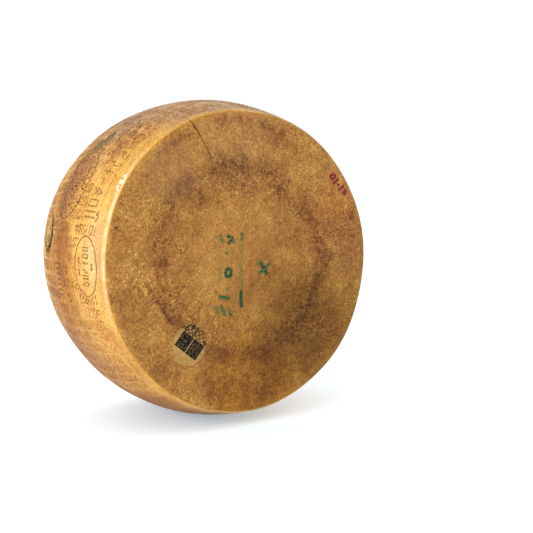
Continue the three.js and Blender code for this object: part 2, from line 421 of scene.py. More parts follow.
def cut(piece, cutters):
    """Takes the cutters out of a piece and removes them."""
    holder = bpy.data.collections.new("cutters")
    bpy.context.scene.collection.children.link(holder)
    for cutter in cutters:
        bpy.context.scene.collection.objects.unlink(cutter)
        holder.objects.link(cutter)
    modifier = piece.modifiers.new("cuts", "BOOLEAN")
    modifier.operand_type = "COLLECTION"
    modifier.collection = holder
    modifier.solver = "MANIFOLD"
    modifier.material_mode = "TRANSFER"
    made = settled(piece)
    for cutter in cutters:
        bpy.data.objects.remove(cutter)
    bpy.data.collections.remove(holder)
    return made


crack_walls = bpy.data.materials.new("dry brown walls of a crack")
bared_curd = bpy.data.materials.new("pale curd bared at the torn spot")
draw = random.Random(CRACK_SEED)
wheel = cut(wheel, [
    slab("ground_cut", *GROUND_CUT),
    oval_plug("bed_cut", plate_half.x + BED_CLEARANCE, plate_half.z + BED_CLEARANCE,
              plate_low.y - BED_ABOVE, plate_high.y + BED_DEEPER),
    crack_cutter("rim_crack", RIM_CRACK, draw),
    crack_cutter("face_crack", FACE_CRACK, draw),
    scuff_lump("torn_spot", *TORN_SPOT, bared_curd, draw),
    *[scuff_lump(f"flat_{i}", *flat, rind, draw) for i, flat in enumerate(RIM_FLATS)],
])
wheel.data.set_sharp_from_angle(angle=WHEEL_SHARP)


# The rind's colour is made in one tree. A tone runs from 0, the darkest stain, to 1, the palest
# fleck, and is turned to a colour of the face or of the side. Then tints and the rim's gold go over.
FACE_SHADES = [(0.0, "#4e2911"), (0.22, "#76441b"), (0.48, "#9a672c"), (0.72, "#ba893f"), (1.0, "#e6bb78")]
SIDE_SHADES = [(0.0, "#7d4b1c"), (0.25, "#a96e27"), (0.5, "#ca8f39"), (0.75, "#e0ae55"), (1.0, "#f7d68c")]
FACE_TONE = 0.548
SIDE_TONE = 0.508
# Two noises make edges uneven, in wide bays and in small patches
WANDER = {"Scale": 1 / (46 * MM), "Detail": 6, "Roughness": 0.62}
PATCHES = {"Scale": 1 / (9 * MM), "Detail": 5, "Roughness": 0.65}


def colour(code):
    """Linear RGBA of an sRGB hex colour."""
    parts = [int(code[i:i + 2], 16) / 255 for i in (1, 3, 5)]
    return (*[c / 12.92 if c <= 0.04045 else ((c + 0.055) / 1.055) ** 2.4 for c in parts], 1)


def shades(stops):
    """Stops of a colour ramp with their hex colours turned to linear."""
    return [(at, colour(code)) for at, code in stops]


def rind_places(tree):
    """What the rind is drawn by: places measured from the wheel's axis, and the two noises."""
    place = add(tree, "ShaderNodeTexCoord").outputs["Object"]
    spot = add(tree, "ShaderNodeVectorMath", [place, AXIS], operation="SUBTRACT")
    along = add(tree, "ShaderNodeSeparateXYZ", [spot]).outputs["Y"]
    flat = add(tree, "ShaderNodeVectorMath", [spot, (1, 0, 1)], operation="MULTIPLY")
    return {
        "spot": spot, "along": along, "flat": flat,
        "height": add(tree, "ShaderNodeSeparateXYZ", [spot]).outputs["Z"],
        "radius": add(tree, "ShaderNodeVectorMath", [flat], operation="LENGTH"),
        "depth": add(tree, "ShaderNodeMath", [along], operation="ABSOLUTE"),
        "in front": add(tree, "ShaderNodeMath", [along, 0], operation="LESS_THAN"),
        "wander": add(tree, "ShaderNodeTexNoise", {"Vector": spot, **WANDER}),
        "patches": add(tree, "ShaderNodeTexNoise", {"Vector": spot, **PATCHES}),
    }


def distance_from(tree, value, middle):
    """How far a value lies from a middle one."""
    off = add(tree, "ShaderNodeMath", [value, middle], operation="SUBTRACT")
    return add(tree, "ShaderNodeMath", [off], operation="ABSOLUTE")


def soft_spot(tree, away, noise, reach, edge, strength):
    """A strength that is full at a place and fades away from it, its edge made uneven by a noise."""
    uneven, full, gone = (share * reach for share in edge)
    off = add(tree, "ShaderNodeMath", [noise, uneven, away], operation="MULTIPLY_ADD")
    return add(tree, "ShaderNodeMapRange", [off, full, gone, strength, 0], interpolation_type="SMOOTHSTEP")


# The shelf's stain in rings on the face: distance from its middle in millimetres and depth of tone
RING_STAINS = [(0, 0), (62, 0.0), (80, 0.06), (104, 0.11), (117, 0.16), (126, 0.27), (134, 0.18),
               (150, 0.06), (184, 0.06), (192, 0.06), (201, -0.02)]
RING_MIDDLE = (-6 * MM, 0, 6 * MM)
RING_WANDER = 22
RING_REACH = 250
# Stains on the marked face: x, z, radius in millimetres from the axis, and depth of tone
STAINS = [
    (-40, 122, 9, 0.12), (-8, 138, 22, 0.08), (30, 120, 14, 0.08), (44, 104, 15, 0.20), (56, 92, 15, 0.24),
    (72, 82, 12, 0.18), (87, 69, 12, 0.22), (99, 56, 12, 0.18), (118, 22, 17, 0.16), (130, -2, 18, 0.14),
    (84, 110, 28, -0.13), (114, 78, 24, -0.07), (-36, 158, 24, -0.09), (-126, 5, 18, 0.11),
    (-106, -68, 22, 0.10), (-136, -38, 16, 0.10), (-142, 34, 20, -0.05), (176, 62, 10, 0.22),
    (-187, 52, 3.5, 0.60), (-48, -36, 4, 0.30), (-131, 143, 8, 0.18), (-120, 150, 9, 0.20),
    (-106, 158, 9, 0.20), (-96, 165, 7, 0.16), (-85, 169, 8, 0.18), (-45, 188, 7, 0.20),
    (-34, 191, 6, 0.22), (-20, 190, 6, 0.16), (-9, 193, 9, 0.26), (4, 189, 7, 0.18), (27, 187, 9, 0.24),
    (39, 181, 7, 0.16), (55, 173, 9, 0.22), (47, 163, 8, 0.18), (80, 150, 12, 0.12), (66, 158, 8, 0.18),
    (-113, 92, 17, 0.11), (-92, 106, 17, 0.11), (-70, 90, 20, 0.20), (22, 2, 52, 0.10), (46, 24, 48, 0.12),
    (46, -26, 38, 0.09), (4, -44, 30, 0.14), (80, 28, 20, 0.10), (-34, 120, 16, 0.06), (4, 122, 16, 0.05),
    (66, -94, 66, 0.07), (120, -110, 95, 0.08), (0, -112, 34, -0.13), (30, -92, 22, 0.07),
    (-30, -146, 24, -0.06), (0, -178, 75, 0.05), (-118, -136, 32, 0.14), (4, 95, 30, 0.08),
    (42, 92, 22, 0.06), (-72, 50, 22, 0.07), (4, 55, 30, 0.07), (44, -12, 22, 0.07), (-15, -50, 30, 0.06),
    (-68, -82, 20, 0.06), (-60, -170, 26, 0.10), (45, 145, 16, -0.05), (87, 91, 15, -0.05),
    (-33, 157, 14, -0.04), (-160, 30, 20, -0.06), (87, 39, 16, 0.05), (-75, 124, 14, -0.07),
    (-107, 60, 16, 0.04), (-141, 92, 14, 0.05),
]
# Edges of stains, in shares of their radius: how far a noise moves them, the full part and the end
SMALL_STAIN_EDGE = (3.4, 1.7, 2.85)
LARGE_STAIN_EDGE = (1.2, 0.6, 1.75)
LARGE_STAIN = 12
# Painted shade in dark lines along creases and along the rim crack, and a painted highlight in one pale
# line
# Creases of the cloth in the marked face: two ends (x, z), half width in millimetres, depth of tone
CREASE_SHADE_AND_HIGHLIGHT = [(-150, -18, -112, -74, 3.2, 0.26), (-157, -21, -119, -76, 2.6, -0.14),
           (-86, 192, -58, 150, 3.2, 0.16), (-176, 40, -160, 2, 1.4, 0.14),
           (-20, -150, 40, -158, 1.6, 0.12)]
CREASE_WANDER = 9 * MM
CREASE_MIDDLE = 4.8 * MM


def face_stains(tree, at):
    """Depth of the rings and stains of the face, and of the painted shade and highlight along its creases.
    """
    ring_from = add(tree, "ShaderNodeVectorMath", [at["flat"], RING_MIDDLE], operation="DISTANCE")
    ring_at = add(tree, "ShaderNodeMath", [at["wander"], 2 * RING_WANDER * MM, ring_from],
                  operation="MULTIPLY_ADD")
    ring_share = add(tree, "ShaderNodeMath", [ring_at, RING_REACH * MM], operation="DIVIDE")
    stops = [((mm + RING_WANDER) / RING_REACH, (deep, deep, deep, 1)) for mm, deep in RING_STAINS]
    stained = add(tree, "ShaderNodeValToRGB", [ring_share], stops=stops)
    for x, z, reach, deep in STAINS:
        noise, edge = at["wander"], LARGE_STAIN_EDGE
        if reach < LARGE_STAIN:
            noise, edge = at["patches"], SMALL_STAIN_EDGE
        away = add(tree, "ShaderNodeVectorMath", [at["flat"], (x * MM, 0, z * MM)], operation="DISTANCE")
        stain = soft_spot(tree, away, noise, reach * MM, edge, deep)
        stained = add(tree, "ShaderNodeMath", [stain, at["in front"], stained], operation="MULTIPLY_ADD")
    for x, z, end_x, end_z, half, deep in CREASE_SHADE_AND_HIGHLIGHT:
        way = Vector((end_x - x, 0, end_z - z)) * MM
        start = add(tree, "ShaderNodeVectorMath", [at["flat"], (x * MM, 0, z * MM)], operation="SUBTRACT")
        share = add(tree, "ShaderNodeVectorMath", [start, way / way.length_squared],
                    operation="DOT_PRODUCT")
        share = add(tree, "ShaderNodeMath", [share, 0], operation="ADD", use_clamp=True)
        nearest = add(tree, "ShaderNodeVectorMath", [way, share], operation="SCALE")
        away = add(tree, "ShaderNodeVectorMath", [start, nearest], operation="DISTANCE")
        uneven = add(tree, "ShaderNodeMath", [at["wander"], CREASE_WANDER, away],
                     operation="MULTIPLY_ADD")
        from_line = distance_from(tree, uneven, CREASE_MIDDLE)
        crease_shade = add(tree, "ShaderNodeMapRange", [from_line, 0, half * MM, deep, 0])
        stained = add(tree, "ShaderNodeMath", [crease_shade, at["in front"], stained],
                      operation="MULTIPLY_ADD")
    return stained


# Patterns of the rind: size, detail and how much each moves the tone
FACE_PATTERNS = [(1.8 * MM, 1, 0.86), (4.2 * MM, 2, 0.58), (11 * MM, 4, 0.42), (50 * MM, 2, 0.28)]
SIDE_PATTERNS = [(1.1 * MM, 1, 0.7), (3.4 * MM, 2, 0.92), (13 * MM, 4, 0.66), (60 * MM, 2, 0.6)]
# Coarse patterns run round the side: how far they are drawn out, and the size from which
SIDE_STRETCH = 1.8
STRETCHED_FROM = 5 * MM
# Pale flecks lie on the face, more of them where it is sandy
FLECKS = {"Scale": 1 / (2.2 * MM), "Detail": 1}
SAND = {"Scale": 1 / (28 * MM), "Detail": 2}
# Ranges: a noise or a place at its start and end, and what it gives there. Stains are taken from the
# tone in patches, the face's middle is smoother than the rest, and the side's top is rougher
FLECKED = (0.6, 0.76, 0, 0.19)
SANDY = (0.4, 0.6, 0.65, 1.2)
PATCHY = (0.36, 0.64, -0.6, -1.3)
SMOOTH_MIDDLE = (45 * MM, 125 * MM, 0.68, 1.12)
DUSTY_TOP = (130 * MM, 200 * MM, 0.95, 1.6)


def patterned(tree, at, tone, patterns, grain, share, coarse_place):
    """A tone moved by patterns. Grain scales the finest one, share all of them."""
    for size, detail, weight in patterns:
        place = coarse_place if size > STRETCHED_FROM else at["spot"]
        noise = add(tree, "ShaderNodeTexNoise", {"Vector": place, "Scale": 1 / size, "Detail": detail})
        centred = add(tree, "ShaderNodeMath", [noise, 0.5], operation="SUBTRACT")
        if detail == 1:
            centred = add(tree, "ShaderNodeMath", [centred, grain], operation="MULTIPLY")
        centred = add(tree, "ShaderNodeMath", [centred, share], operation="MULTIPLY")
        tone = add(tree, "ShaderNodeMath", [centred, weight, tone], operation="MULTIPLY_ADD")
    return tone


def face_tone_of(tree, at):
    """Tone of the faces, with stains, flecks and patterns."""
    patchy = add(tree, "ShaderNodeMapRange", [at["patches"], *PATCHY], interpolation_type="SMOOTHSTEP")
    flecks = add(tree, "ShaderNodeTexNoise", {"Vector": at["spot"], **FLECKS})
    flecks = add(tree, "ShaderNodeMapRange", [flecks, *FLECKED])
    sandy = add(tree, "ShaderNodeTexNoise", {"Vector": at["spot"], **SAND})
    sandy = add(tree, "ShaderNodeMapRange", [sandy, *SANDY])
    flecked = add(tree, "ShaderNodeMath", [flecks, sandy, FACE_TONE], operation="MULTIPLY_ADD")
    tone = add(tree, "ShaderNodeMath", [face_stains(tree, at), patchy, flecked],
               operation="MULTIPLY_ADD")
    rough = add(tree, "ShaderNodeMapRange", [at["radius"], *SMOOTH_MIDDLE],
                interpolation_type="SMOOTHSTEP")
    return patterned(tree, at, tone, FACE_PATTERNS, sandy, rough, at["spot"])


def side_tone_of(tree, at):
    """Tone of the side, its coarse patterns drawn out round the wheel."""
    stretched = add(tree, "ShaderNodeVectorMath", [at["spot"], (1 / SIDE_STRETCH, 1, 1 / SIDE_STRETCH)],
                    operation="MULTIPLY")
    dusty = add(tree, "ShaderNodeMapRange", [at["height"], *DUSTY_TOP])
    return patterned(tree, at, SIDE_TONE, SIDE_PATTERNS, 1, dusty, stretched)


# Tints on the side: angle, distance along the axis, half lengths round and along, colour, strength, blend
TINTS = [
    (92, 0, 165, 140, "#866a57", 0.62, "MIX"), (149, -7, 52, 35, "#98551c", 0.62, "MIX"),
    (180, -84, 150, 42, "#ecbc66", 0.38, "MIX"), (173, -94, 46, 22, "#f6d8a2", 0.3, "MIX"),
    (169, 50, 20, 19, "#938c50", 0.3, "MIX"), (225, 15, 120, 72, "#a86f45", 0.45, "MIX"),
    (255, -20, 90, 120, "#7a4e20", 0.6, "MIX"), (178, 12, 68, 46, "#dfd0a8", 1, "MULTIPLY"),
    (182, -24, 72, 26, "#e2d0a8", 1, "MULTIPLY"), (138, -90, 62, 34, "#f3e8cc", 1, "MULTIPLY"),
    (214, -90, 58, 38, "#f8f3ee", 1, "MULTIPLY"), (38, -106, 190, 22, "#8a7440", 0.5, "MIX"),
    (207, 34, 75, 46, "#ebe3da", 1, "MULTIPLY"), (152, 10, 60, 36, "#e6ddd0", 1, "MULTIPLY"),
    (252, -40, 80, 75, "#f2e0c8", 1, "MULTIPLY"), (188, 0, 80, 60, "#fdfae6", 1, "MULTIPLY"),
    (217, 15, 50, 60, "#f1ebe0", 1, "MULTIPLY"), (188, -103, 32, 12, "#f6edeb", 1, "MULTIPLY"),
    (171, -104, 34, 11, "#f6efec", 1, "MULTIPLY"), (187, 2, 60, 36, "#fffaae", 1, "MULTIPLY"),
    (175, -36, 26, 18, "#efe8de", 1, "MULTIPLY"), (199, -52, 30, 18, "#efe9e2", 1, "MULTIPLY"),
    (216, -28, 64, 48, "#f0ebeb", 1, "MULTIPLY"), (139, -36, 34, 24, "#eebf70", 0.14, "MIX"),
    (159, -4, 34, 24, "#f3f2ec", 1, "MULTIPLY"),
]
SIDE_TINT_EDGE = (1.2, 1.2, 1.85)
# A mixed tint keeps this share of the side's texture, which runs between these two colours
TEXTURE = ("#4d3520", "#ffffff")
TEXTURE_KEPT = 0.75


def tinted_side(tree, at, paint, tone):
    """The side's colour with its tints, each a soft uneven oval round its place."""
    dark, pale = TEXTURE
    texture = add(tree, "ShaderNodeMix", [tone, colour(dark), colour(pale)], data_type="RGBA")
    for angle, y, half_round, half_along, code, strength, blend in TINTS:
        turn = math.radians(angle)
        tangent = Vector((-math.sin(turn), 0, math.cos(turn))) / (half_round * MM)
        inwards = Vector((-math.cos(turn), 0, -math.sin(turn))) / (half_round * MM)
        across = add(tree, "ShaderNodeVectorMath", [at["spot"], tangent], operation="DOT_PRODUCT")
        behind = add(tree, "ShaderNodeVectorMath", [at["spot"], inwards], operation="DOT_PRODUCT")
        behind = add(tree, "ShaderNodeMath", [behind, 0], operation="MAXIMUM")
        aside = add(tree, "ShaderNodeMath", [at["along"], 1 / (half_along * MM), -y / half_along],
                    operation="MULTIPLY_ADD")
        away = add(tree, "ShaderNodeCombineXYZ", [across, aside, behind])
        away = add(tree, "ShaderNodeVectorMath", [away], operation="LENGTH")
        share = soft_spot(tree, away, at["wander"], 1, SIDE_TINT_EDGE, strength)
        tint = colour(code)
        if blend == "MIX":
            tint = add(tree, "ShaderNodeMix", [TEXTURE_KEPT, tint, texture], data_type="RGBA",
                       blend_type="OVERLAY")
        paint = add(tree, "ShaderNodeMix", [share, paint, tint], data_type="RGBA", blend_type=blend)
    return paint


# The face's hue wanders between orange brown and olive
HUES = {"Scale": 1 / (20 * MM), "Detail": 4}
HUE_SHADES = [(0.38, "#b0703a"), (0.62, "#98783a")]
HUE_STRENGTH = 0.12
# Tints on the marked face, as bare greyer rind, browner rind or painted shade: x, z, radius, colour,
# strength, blend
FACE_TINTS = [
    # The multiplied tints at (105, -95) and (10, -170) are painted shade: the face darker to its lower
    # right and bottom
    (-112, 128, 52, "#a27a55", 0.2, "MIX"), (105, -95, 115, "#ccc898", 1, "MULTIPLY"),
    (10, -170, 95, "#e2d49c", 1, "MULTIPLY"), (188, 10, 60, "#efeaf2", 1, "MULTIPLY"),
    (-10, 182, 88, "#b07b4a", 0.42, "COLOR"), (-106, 158, 26, "#dcb6aa", 0.3, "MULTIPLY"),
    (-36, 190, 22, "#dcb6aa", 0.3, "MULTIPLY"), (2, 192, 24, "#dcb6aa", 0.32, "MULTIPLY"),
    (46, 172, 30, "#dcb6aa", 0.3, "MULTIPLY"), (150, 60, 70, "#f8ecee", 1, "MULTIPLY"),
    (-144, -130, 32, "#f1eee6", 1, "MULTIPLY"), (-19, -63, 42, "#f5f2ea", 1, "MULTIPLY"),
    (5, -182, 32, "#f0ebe6", 1, "MULTIPLY"),
]
FACE_TINT_EDGE = (1, 0.9, 1.6)
# Golden band along the face's edge: where it starts and is full, and how far it wanders
EDGE_BAND = (197 * MM, 202 * MM, 0, 0.6)
BAND_WANDER = 14 * MM
BAND_GOLD = "#c48a2a"


def tinted_face(tree, at, paint):
    """The face's colour with its wandering hue, its tints and the golden band at its edge."""
    hues = add(tree, "ShaderNodeTexNoise", {"Vector": at["spot"], **HUES})
    hues = add(tree, "ShaderNodeValToRGB", [hues], stops=shades(HUE_SHADES))
    paint = add(tree, "ShaderNodeMix", [HUE_STRENGTH, paint, hues], data_type="RGBA", blend_type="COLOR")
    for x, z, reach, code, strength, blend in FACE_TINTS:
        away = add(tree, "ShaderNodeVectorMath", [at["flat"], (x * MM, 0, z * MM)], operation="DISTANCE")
        share = soft_spot(tree, away, at["wander"], reach * MM, FACE_TINT_EDGE, strength)
        share = add(tree, "ShaderNodeMath", [share, at["in front"]], operation="MULTIPLY")
        paint = add(tree, "ShaderNodeMix", [share, paint, colour(code)], data_type="RGBA",
                    blend_type=blend)
    band = add(tree, "ShaderNodeMath", [at["wander"], -BAND_WANDER, at["radius"]],
               operation="MULTIPLY_ADD")
    band = add(tree, "ShaderNodeMath", [band, BAND_WANDER / 2], operation="ADD")
    band = add(tree, "ShaderNodeMapRange", [band, *EDGE_BAND], interpolation_type="SMOOTHSTEP")
    return add(tree, "ShaderNodeMix", [band, paint, colour(BAND_GOLD)], data_type="RGBA",
               blend_type="COLOR")


# The rim is rubbed smooth and golden near the face; its gold there is partly a painted highlight
NEAR_FACE = (103 * MM, 112 * MM)
RIM_GOLD_AND_SHEEN_SHARE = 0.25
RIM_GOLD_AND_SHEEN = "#e2ad55"
# Two thin lines round the rim: distance from mid thickness, half width and strength. The golden one
# is whole. The cream one is a painted highlight, broken into patches, shown where the rim faces the lamp
EDGE_LINE = (115 * MM, 0.8 * MM, 0.8)
EDGE_GOLD = "#b5762a"
HIGHLIGHT_LINE = (112 * MM, 3.92 * MM, 0.52)
HIGHLIGHT_SIDE = Vector((math.cos(math.radians(167)), 0, math.sin(math.radians(167))))
HIGHLIGHT_FACING = (0.8, 0.97, 0, 1)
HIGHLIGHT_BREAKS = (0.42, 0.56, 0.35, 1)
RIM_HIGHLIGHT = "#fff0c6"


def rim_line(tree, at, line):
    """Strength of a thin line round the rim."""
    place, half_width, strength = line
    off = distance_from(tree, at["depth"], place)
    return add(tree, "ShaderNodeMapRange", [off, 0, half_width, strength, 0],
               interpolation_type="SMOOTHSTEP")


def rim_gold_and_highlight(tree, at, paint, rim):
    """The rind's colour with the rim's gold, its golden line and a painted highlight line."""
    # Gold near the face: rubbed rind, and partly a painted highlight
    gold_and_sheen = add(tree, "ShaderNodeMath", [rim, RIM_GOLD_AND_SHEEN_SHARE], operation="MULTIPLY")
    paint = add(tree, "ShaderNodeMix", [gold_and_sheen, paint, colour(RIM_GOLD_AND_SHEEN)], data_type="RGBA")
    # A painted highlight: a cream line on the rim, broken into patches, shown where the rim faces the lamp
    facing_lamp = add(tree, "ShaderNodeVectorMath", [at["flat"]], operation="NORMALIZE")
    facing_lamp = add(tree, "ShaderNodeVectorMath", [facing_lamp, HIGHLIGHT_SIDE], operation="DOT_PRODUCT")
    facing_lamp = add(tree, "ShaderNodeMapRange", [facing_lamp, *HIGHLIGHT_FACING])
    worn = add(tree, "ShaderNodeMapRange", [at["patches"], *HIGHLIGHT_BREAKS])
    highlight = rim_line(tree, at, HIGHLIGHT_LINE)
    for share in (facing_lamp, worn):
        highlight = add(tree, "ShaderNodeMath", [highlight, share], operation="MULTIPLY")
    paint = add(tree, "ShaderNodeMix", [highlight, paint, colour(RIM_HIGHLIGHT)], data_type="RGBA")
    gold = rim_line(tree, at, EDGE_LINE)
    return add(tree, "ShaderNodeMix", [gold, paint, colour(EDGE_GOLD)], data_type="RGBA")


# The side's colour starts just behind the face's edge, along a line that waves a little
SIDE_START = (116.6 * MM, 115.6 * MM)
START_WAVE = 2 * MM
WAVE_NOISE = {"Scale": 1 / (14 * MM), "Detail": 3}


def rind_colour_tree():
    """Colour of the rind anywhere on the wheel, its relief, and shares of the side and of the rim."""
    tree = bpy.data.node_groups.new("rind colour", "ShaderNodeTree")
    for label, kind in (("Colour", "Color"), ("Relief", "Float"), ("Side", "Float"), ("Rim", "Float")):
        tree.interface.new_socket(label, in_out="OUTPUT", socket_type="NodeSocket" + kind)
    at = rind_places(tree)
    wave = add(tree, "ShaderNodeTexNoise", {"Vector": at["spot"], **WAVE_NOISE})
    side = add(tree, "ShaderNodeMath", [wave, START_WAVE, at["depth"]], operation="MULTIPLY_ADD")
    side = add(tree, "ShaderNodeMapRange", [side, *SIDE_START], interpolation_type="SMOOTHSTEP")
    rim = add(tree, "ShaderNodeMapRange", [at["depth"], *NEAR_FACE], interpolation_type="SMOOTHSTEP")
    rim = add(tree, "ShaderNodeMath", [rim, side], operation="MULTIPLY")
    face_tone = face_tone_of(tree, at)
    side_tone = side_tone_of(tree, at)
    face_paint = add(tree, "ShaderNodeValToRGB", [face_tone], stops=shades(FACE_SHADES))
    side_paint = add(tree, "ShaderNodeValToRGB", [side_tone], stops=shades(SIDE_SHADES))
    face_paint = tinted_face(tree, at, face_paint)
    side_paint = tinted_side(tree, at, side_paint, side_tone)
    paint = add(tree, "ShaderNodeMix", [side, face_paint, side_paint], data_type="RGBA")
    relief = add(tree, "ShaderNodeMix", [side, face_tone, side_tone])
    add(tree, "NodeGroupOutput", {"Colour": rim_gold_and_highlight(tree, at, paint, rim), "Relief": relief,
                                  "Side": side, "Rim": rim})
    return tree


def surface_of(material):
    """The node tree of a material and its Principled shader."""
    material.use_nodes = True
    tree = material.node_tree
    return tree, next(node for node in tree.nodes if node.type == "BSDF_PRINCIPLED")


# Aged natural rind, oiled and brushed: dry and grainy on the faces, waxy on the side, and polished
# where the rim is rubbed. The tone of its patterns lifts the grain a little.
ROUGHNESS = {"face": 0.66, "side": 0.47, "rim": 0.36}
RIND_GLOSS = 0.2
GRAIN = {"Strength": 0.55, "Distance": 0.5 * MM}
rind_colour = rind_colour_tree()
tree, shader = surface_of(rind)
looks = add(tree, "ShaderNodeGroup", node_tree=rind_colour).outputs
dull = add(tree, "ShaderNodeMapRange", [looks["Side"], 0, 1, ROUGHNESS["face"], ROUGHNESS["side"]])
dull = add(tree, "ShaderNodeMix", [looks["Rim"], dull, ROUGHNESS["rim"]])
grain = add(tree, "ShaderNodeBump", {"Height": looks["Relief"], **GRAIN})
feed(shader, {"Base Color": looks["Colour"], "Roughness": dull, "Normal": grain,
              "Specular IOR Level": RIND_GLOSS})

# Curd that dried on the walls of the cracks: brown and dull, so that a crack reads as a dark line
tree, shader = surface_of(crack_walls)
feed(shader, {"Base Color": colour("#7a4c26"), "Roughness": 0.8})

# Fresh curd where a bit of the rim tore off: pale and crumbly
CRUMBS = {"Scale": 1 / (4 * MM), "Detail": 3}
CRUMB_SHADES = [(0.36, "#b58450"), (0.45, "#e9c58a"), (0.56, "#fcebc4")]
tree, shader = surface_of(bared_curd)
place = add(tree, "ShaderNodeTexCoord").outputs["Object"]
crumbs = add(tree, "ShaderNodeTexNoise", {"Vector": place, **CRUMBS})
crumbs = add(tree, "ShaderNodeValToRGB", [crumbs], stops=shades(CRUMB_SHADES))
feed(shader, {"Base Color": crumbs, "Roughness": 0.7})

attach(wheel, "root")
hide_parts("cheese_wheel")


# The casein plate: a thin oval of dried milk protein, pressed into the face while the curd is fresh.
# It is printed in dark ink, with two blocks of fine cells and two rows of small rings, all at random.
PLATE_RINGS = 14
PLATE_BEVEL = 0.35 * MM
PLATE_DISH = 0.12 * MM
PLATE_SHARP = math.radians(30)


def plate_mesh():
    """A closed oval disc with bevelled edges and a slightly dished front."""
    thick = plate_high.y - plate_low.y
    steps = [(i / PLATE_RINGS * (1 - PLATE_BEVEL / plate_half.x), 0) for i in range(1, PLATE_RINGS + 1)]
    steps += [(1, PLATE_BEVEL), (1, thick - PLATE_BEVEL), (1 - PLATE_BEVEL / plate_half.x, thick)]
    points = [(0, PLATE_DISH, 0)]
    for share, back in steps:
        dish = PLATE_DISH * (1 - share * share) if back == 0 else 0
        for i in range(PLATE_SIDES):
            turn = math.tau * i / PLATE_SIDES
            points.append((share * plate_half.x * math.cos(turn), back + dish,
                           share * plate_half.z * math.sin(turn)))
    points.append((0, thick, 0))
    corner = Vector((plate_middle.x, plate_low.y, plate_middle.z))
    mesh = bpy.data.meshes.new("casein_plate_disc")
    mesh.from_pydata([Vector(p) + corner for p in points], [], ring_faces(len(steps), PLATE_SIDES))
    mesh.polygons.foreach_set("use_smooth", [True] * len(mesh.polygons))
    mesh.set_sharp_from_angle(angle=PLATE_SHARP)
    return mesh


# The print, turned on the plate, in millimetres from its middle: two bordered blocks side by side,
# the share of their cells that is inked, and the ink between these
PRINT_TURN = math.radians(-39)
BLOCK = {"half": (9.3, 11.3), "apart": 9.9, "middle": -0.5, "cell": 1.15, "inked": 0.76, "between": 0.65}
BLOCK_BORDER = (1.4, 1.2, 0, 0.9)
# Rows of small rings above the blocks: their heights, the rings' pitch and size, and their openings
RING_ROWS = [14.9, 22.0]
RING = {"pitch": 6.9, "half": 2.9, "half_height": 3.2, "reach": 1.1, "opening": (0.1, 0.7), "ink": 0.9}
# The plate yellows towards its upper end, and patches of the print are rubbed
RUBBED_PATCHES = {"Scale": 1 / (4 * MM), "Detail": 3}
PRINT_KEPT = (0.3, 0.45, 0.85, 1)
CASEIN_SHADES = [(0.3, "#936c34"), (0.7, "#b58c4e")]
YELLOWED = (0, 24, 0, 0.7)
YELLOWED_CASEIN = "#8f642a"
PRINT_INK = "#0c0d11"
CASEIN_GLOSS = 0.25
INK_GLOSS = 0.06


def block_print(tree, u, v):
    """Ink of the two blocks."""
    u_size = add(tree, "ShaderNodeMath", [u], operation="ABSOLUTE")
    off_u = distance_from(tree, u_size, BLOCK["apart"])
    off_v = distance_from(tree, v, BLOCK["middle"])
    in_u = add(tree, "ShaderNodeMath", [off_u, BLOCK["half"][0]], operation="LESS_THAN")
    in_v = add(tree, "ShaderNodeMath", [off_v, BLOCK["half"][1]], operation="LESS_THAN")
    inside = add(tree, "ShaderNodeMath", [in_u, in_v], operation="MULTIPLY")
    cells = add(tree, "ShaderNodeCombineXYZ", [u, v])
    cells = add(tree, "ShaderNodeVectorMath", [cells, (BLOCK["cell"],) * 3], operation="SNAP")
    chance = add(tree, "ShaderNodeTexWhiteNoise", {"Vector": cells}, noise_dimensions="2D")
    inked = add(tree, "ShaderNodeMath", [chance, BLOCK["inked"]], operation="LESS_THAN")
    inked = add(tree, "ShaderNodeMapRange", [inked, 0, 1, BLOCK["between"], 1])
    from_side = add(tree, "ShaderNodeMath", [BLOCK["half"][0], off_u], operation="SUBTRACT")
    from_top = add(tree, "ShaderNodeMath", [BLOCK["half"][1], off_v], operation="SUBTRACT")
    from_edge = add(tree, "ShaderNodeMath", [from_side, from_top], operation="MINIMUM")
    border = add(tree, "ShaderNodeMapRange", [from_edge, *BLOCK_BORDER])
    inked = add(tree, "ShaderNodeMath", [inked, border], operation="MAXIMUM")
    return add(tree, "ShaderNodeMath", [inside, inked], operation="MULTIPLY")


def ring_print(tree, u, v, row):
    """Ink of one row of rings, each with an opening of a random size."""
    column = add(tree, "ShaderNodeMath", [u, RING["pitch"]], operation="FLOORED_MODULO")
    column = add(tree, "ShaderNodeMath", [column, RING["pitch"] / 2], operation="SUBTRACT")
    column = add(tree, "ShaderNodeMath", [column, RING["half"]], operation="DIVIDE")
    number = add(tree, "ShaderNodeMath", [u, RING["pitch"]], operation="DIVIDE")
    number = add(tree, "ShaderNodeMath", [number], operation="FLOOR")
    aside = add(tree, "ShaderNodeMath", [v, row], operation="SUBTRACT")
    aside = add(tree, "ShaderNodeMath", [aside, RING["half_height"]], operation="DIVIDE")
    within = add(tree, "ShaderNodeCombineXYZ", [column, aside])
    within = add(tree, "ShaderNodeVectorMath", [within], operation="LENGTH")
    seed = add(tree, "ShaderNodeCombineXYZ", [number, row])
    chance = add(tree, "ShaderNodeTexWhiteNoise", {"Vector": seed}, noise_dimensions="2D")
    opening = add(tree, "ShaderNodeMapRange", [chance, 0, 1, *RING["opening"]])
    outer = add(tree, "ShaderNodeMath", [within, RING["reach"]], operation="LESS_THAN")
    inner = add(tree, "ShaderNodeMath", [within, opening], operation="GREATER_THAN")
    ring = add(tree, "ShaderNodeMath", [outer, inner], operation="MULTIPLY")
    return add(tree, "ShaderNodeMath", [ring, RING["ink"]], operation="MULTIPLY")


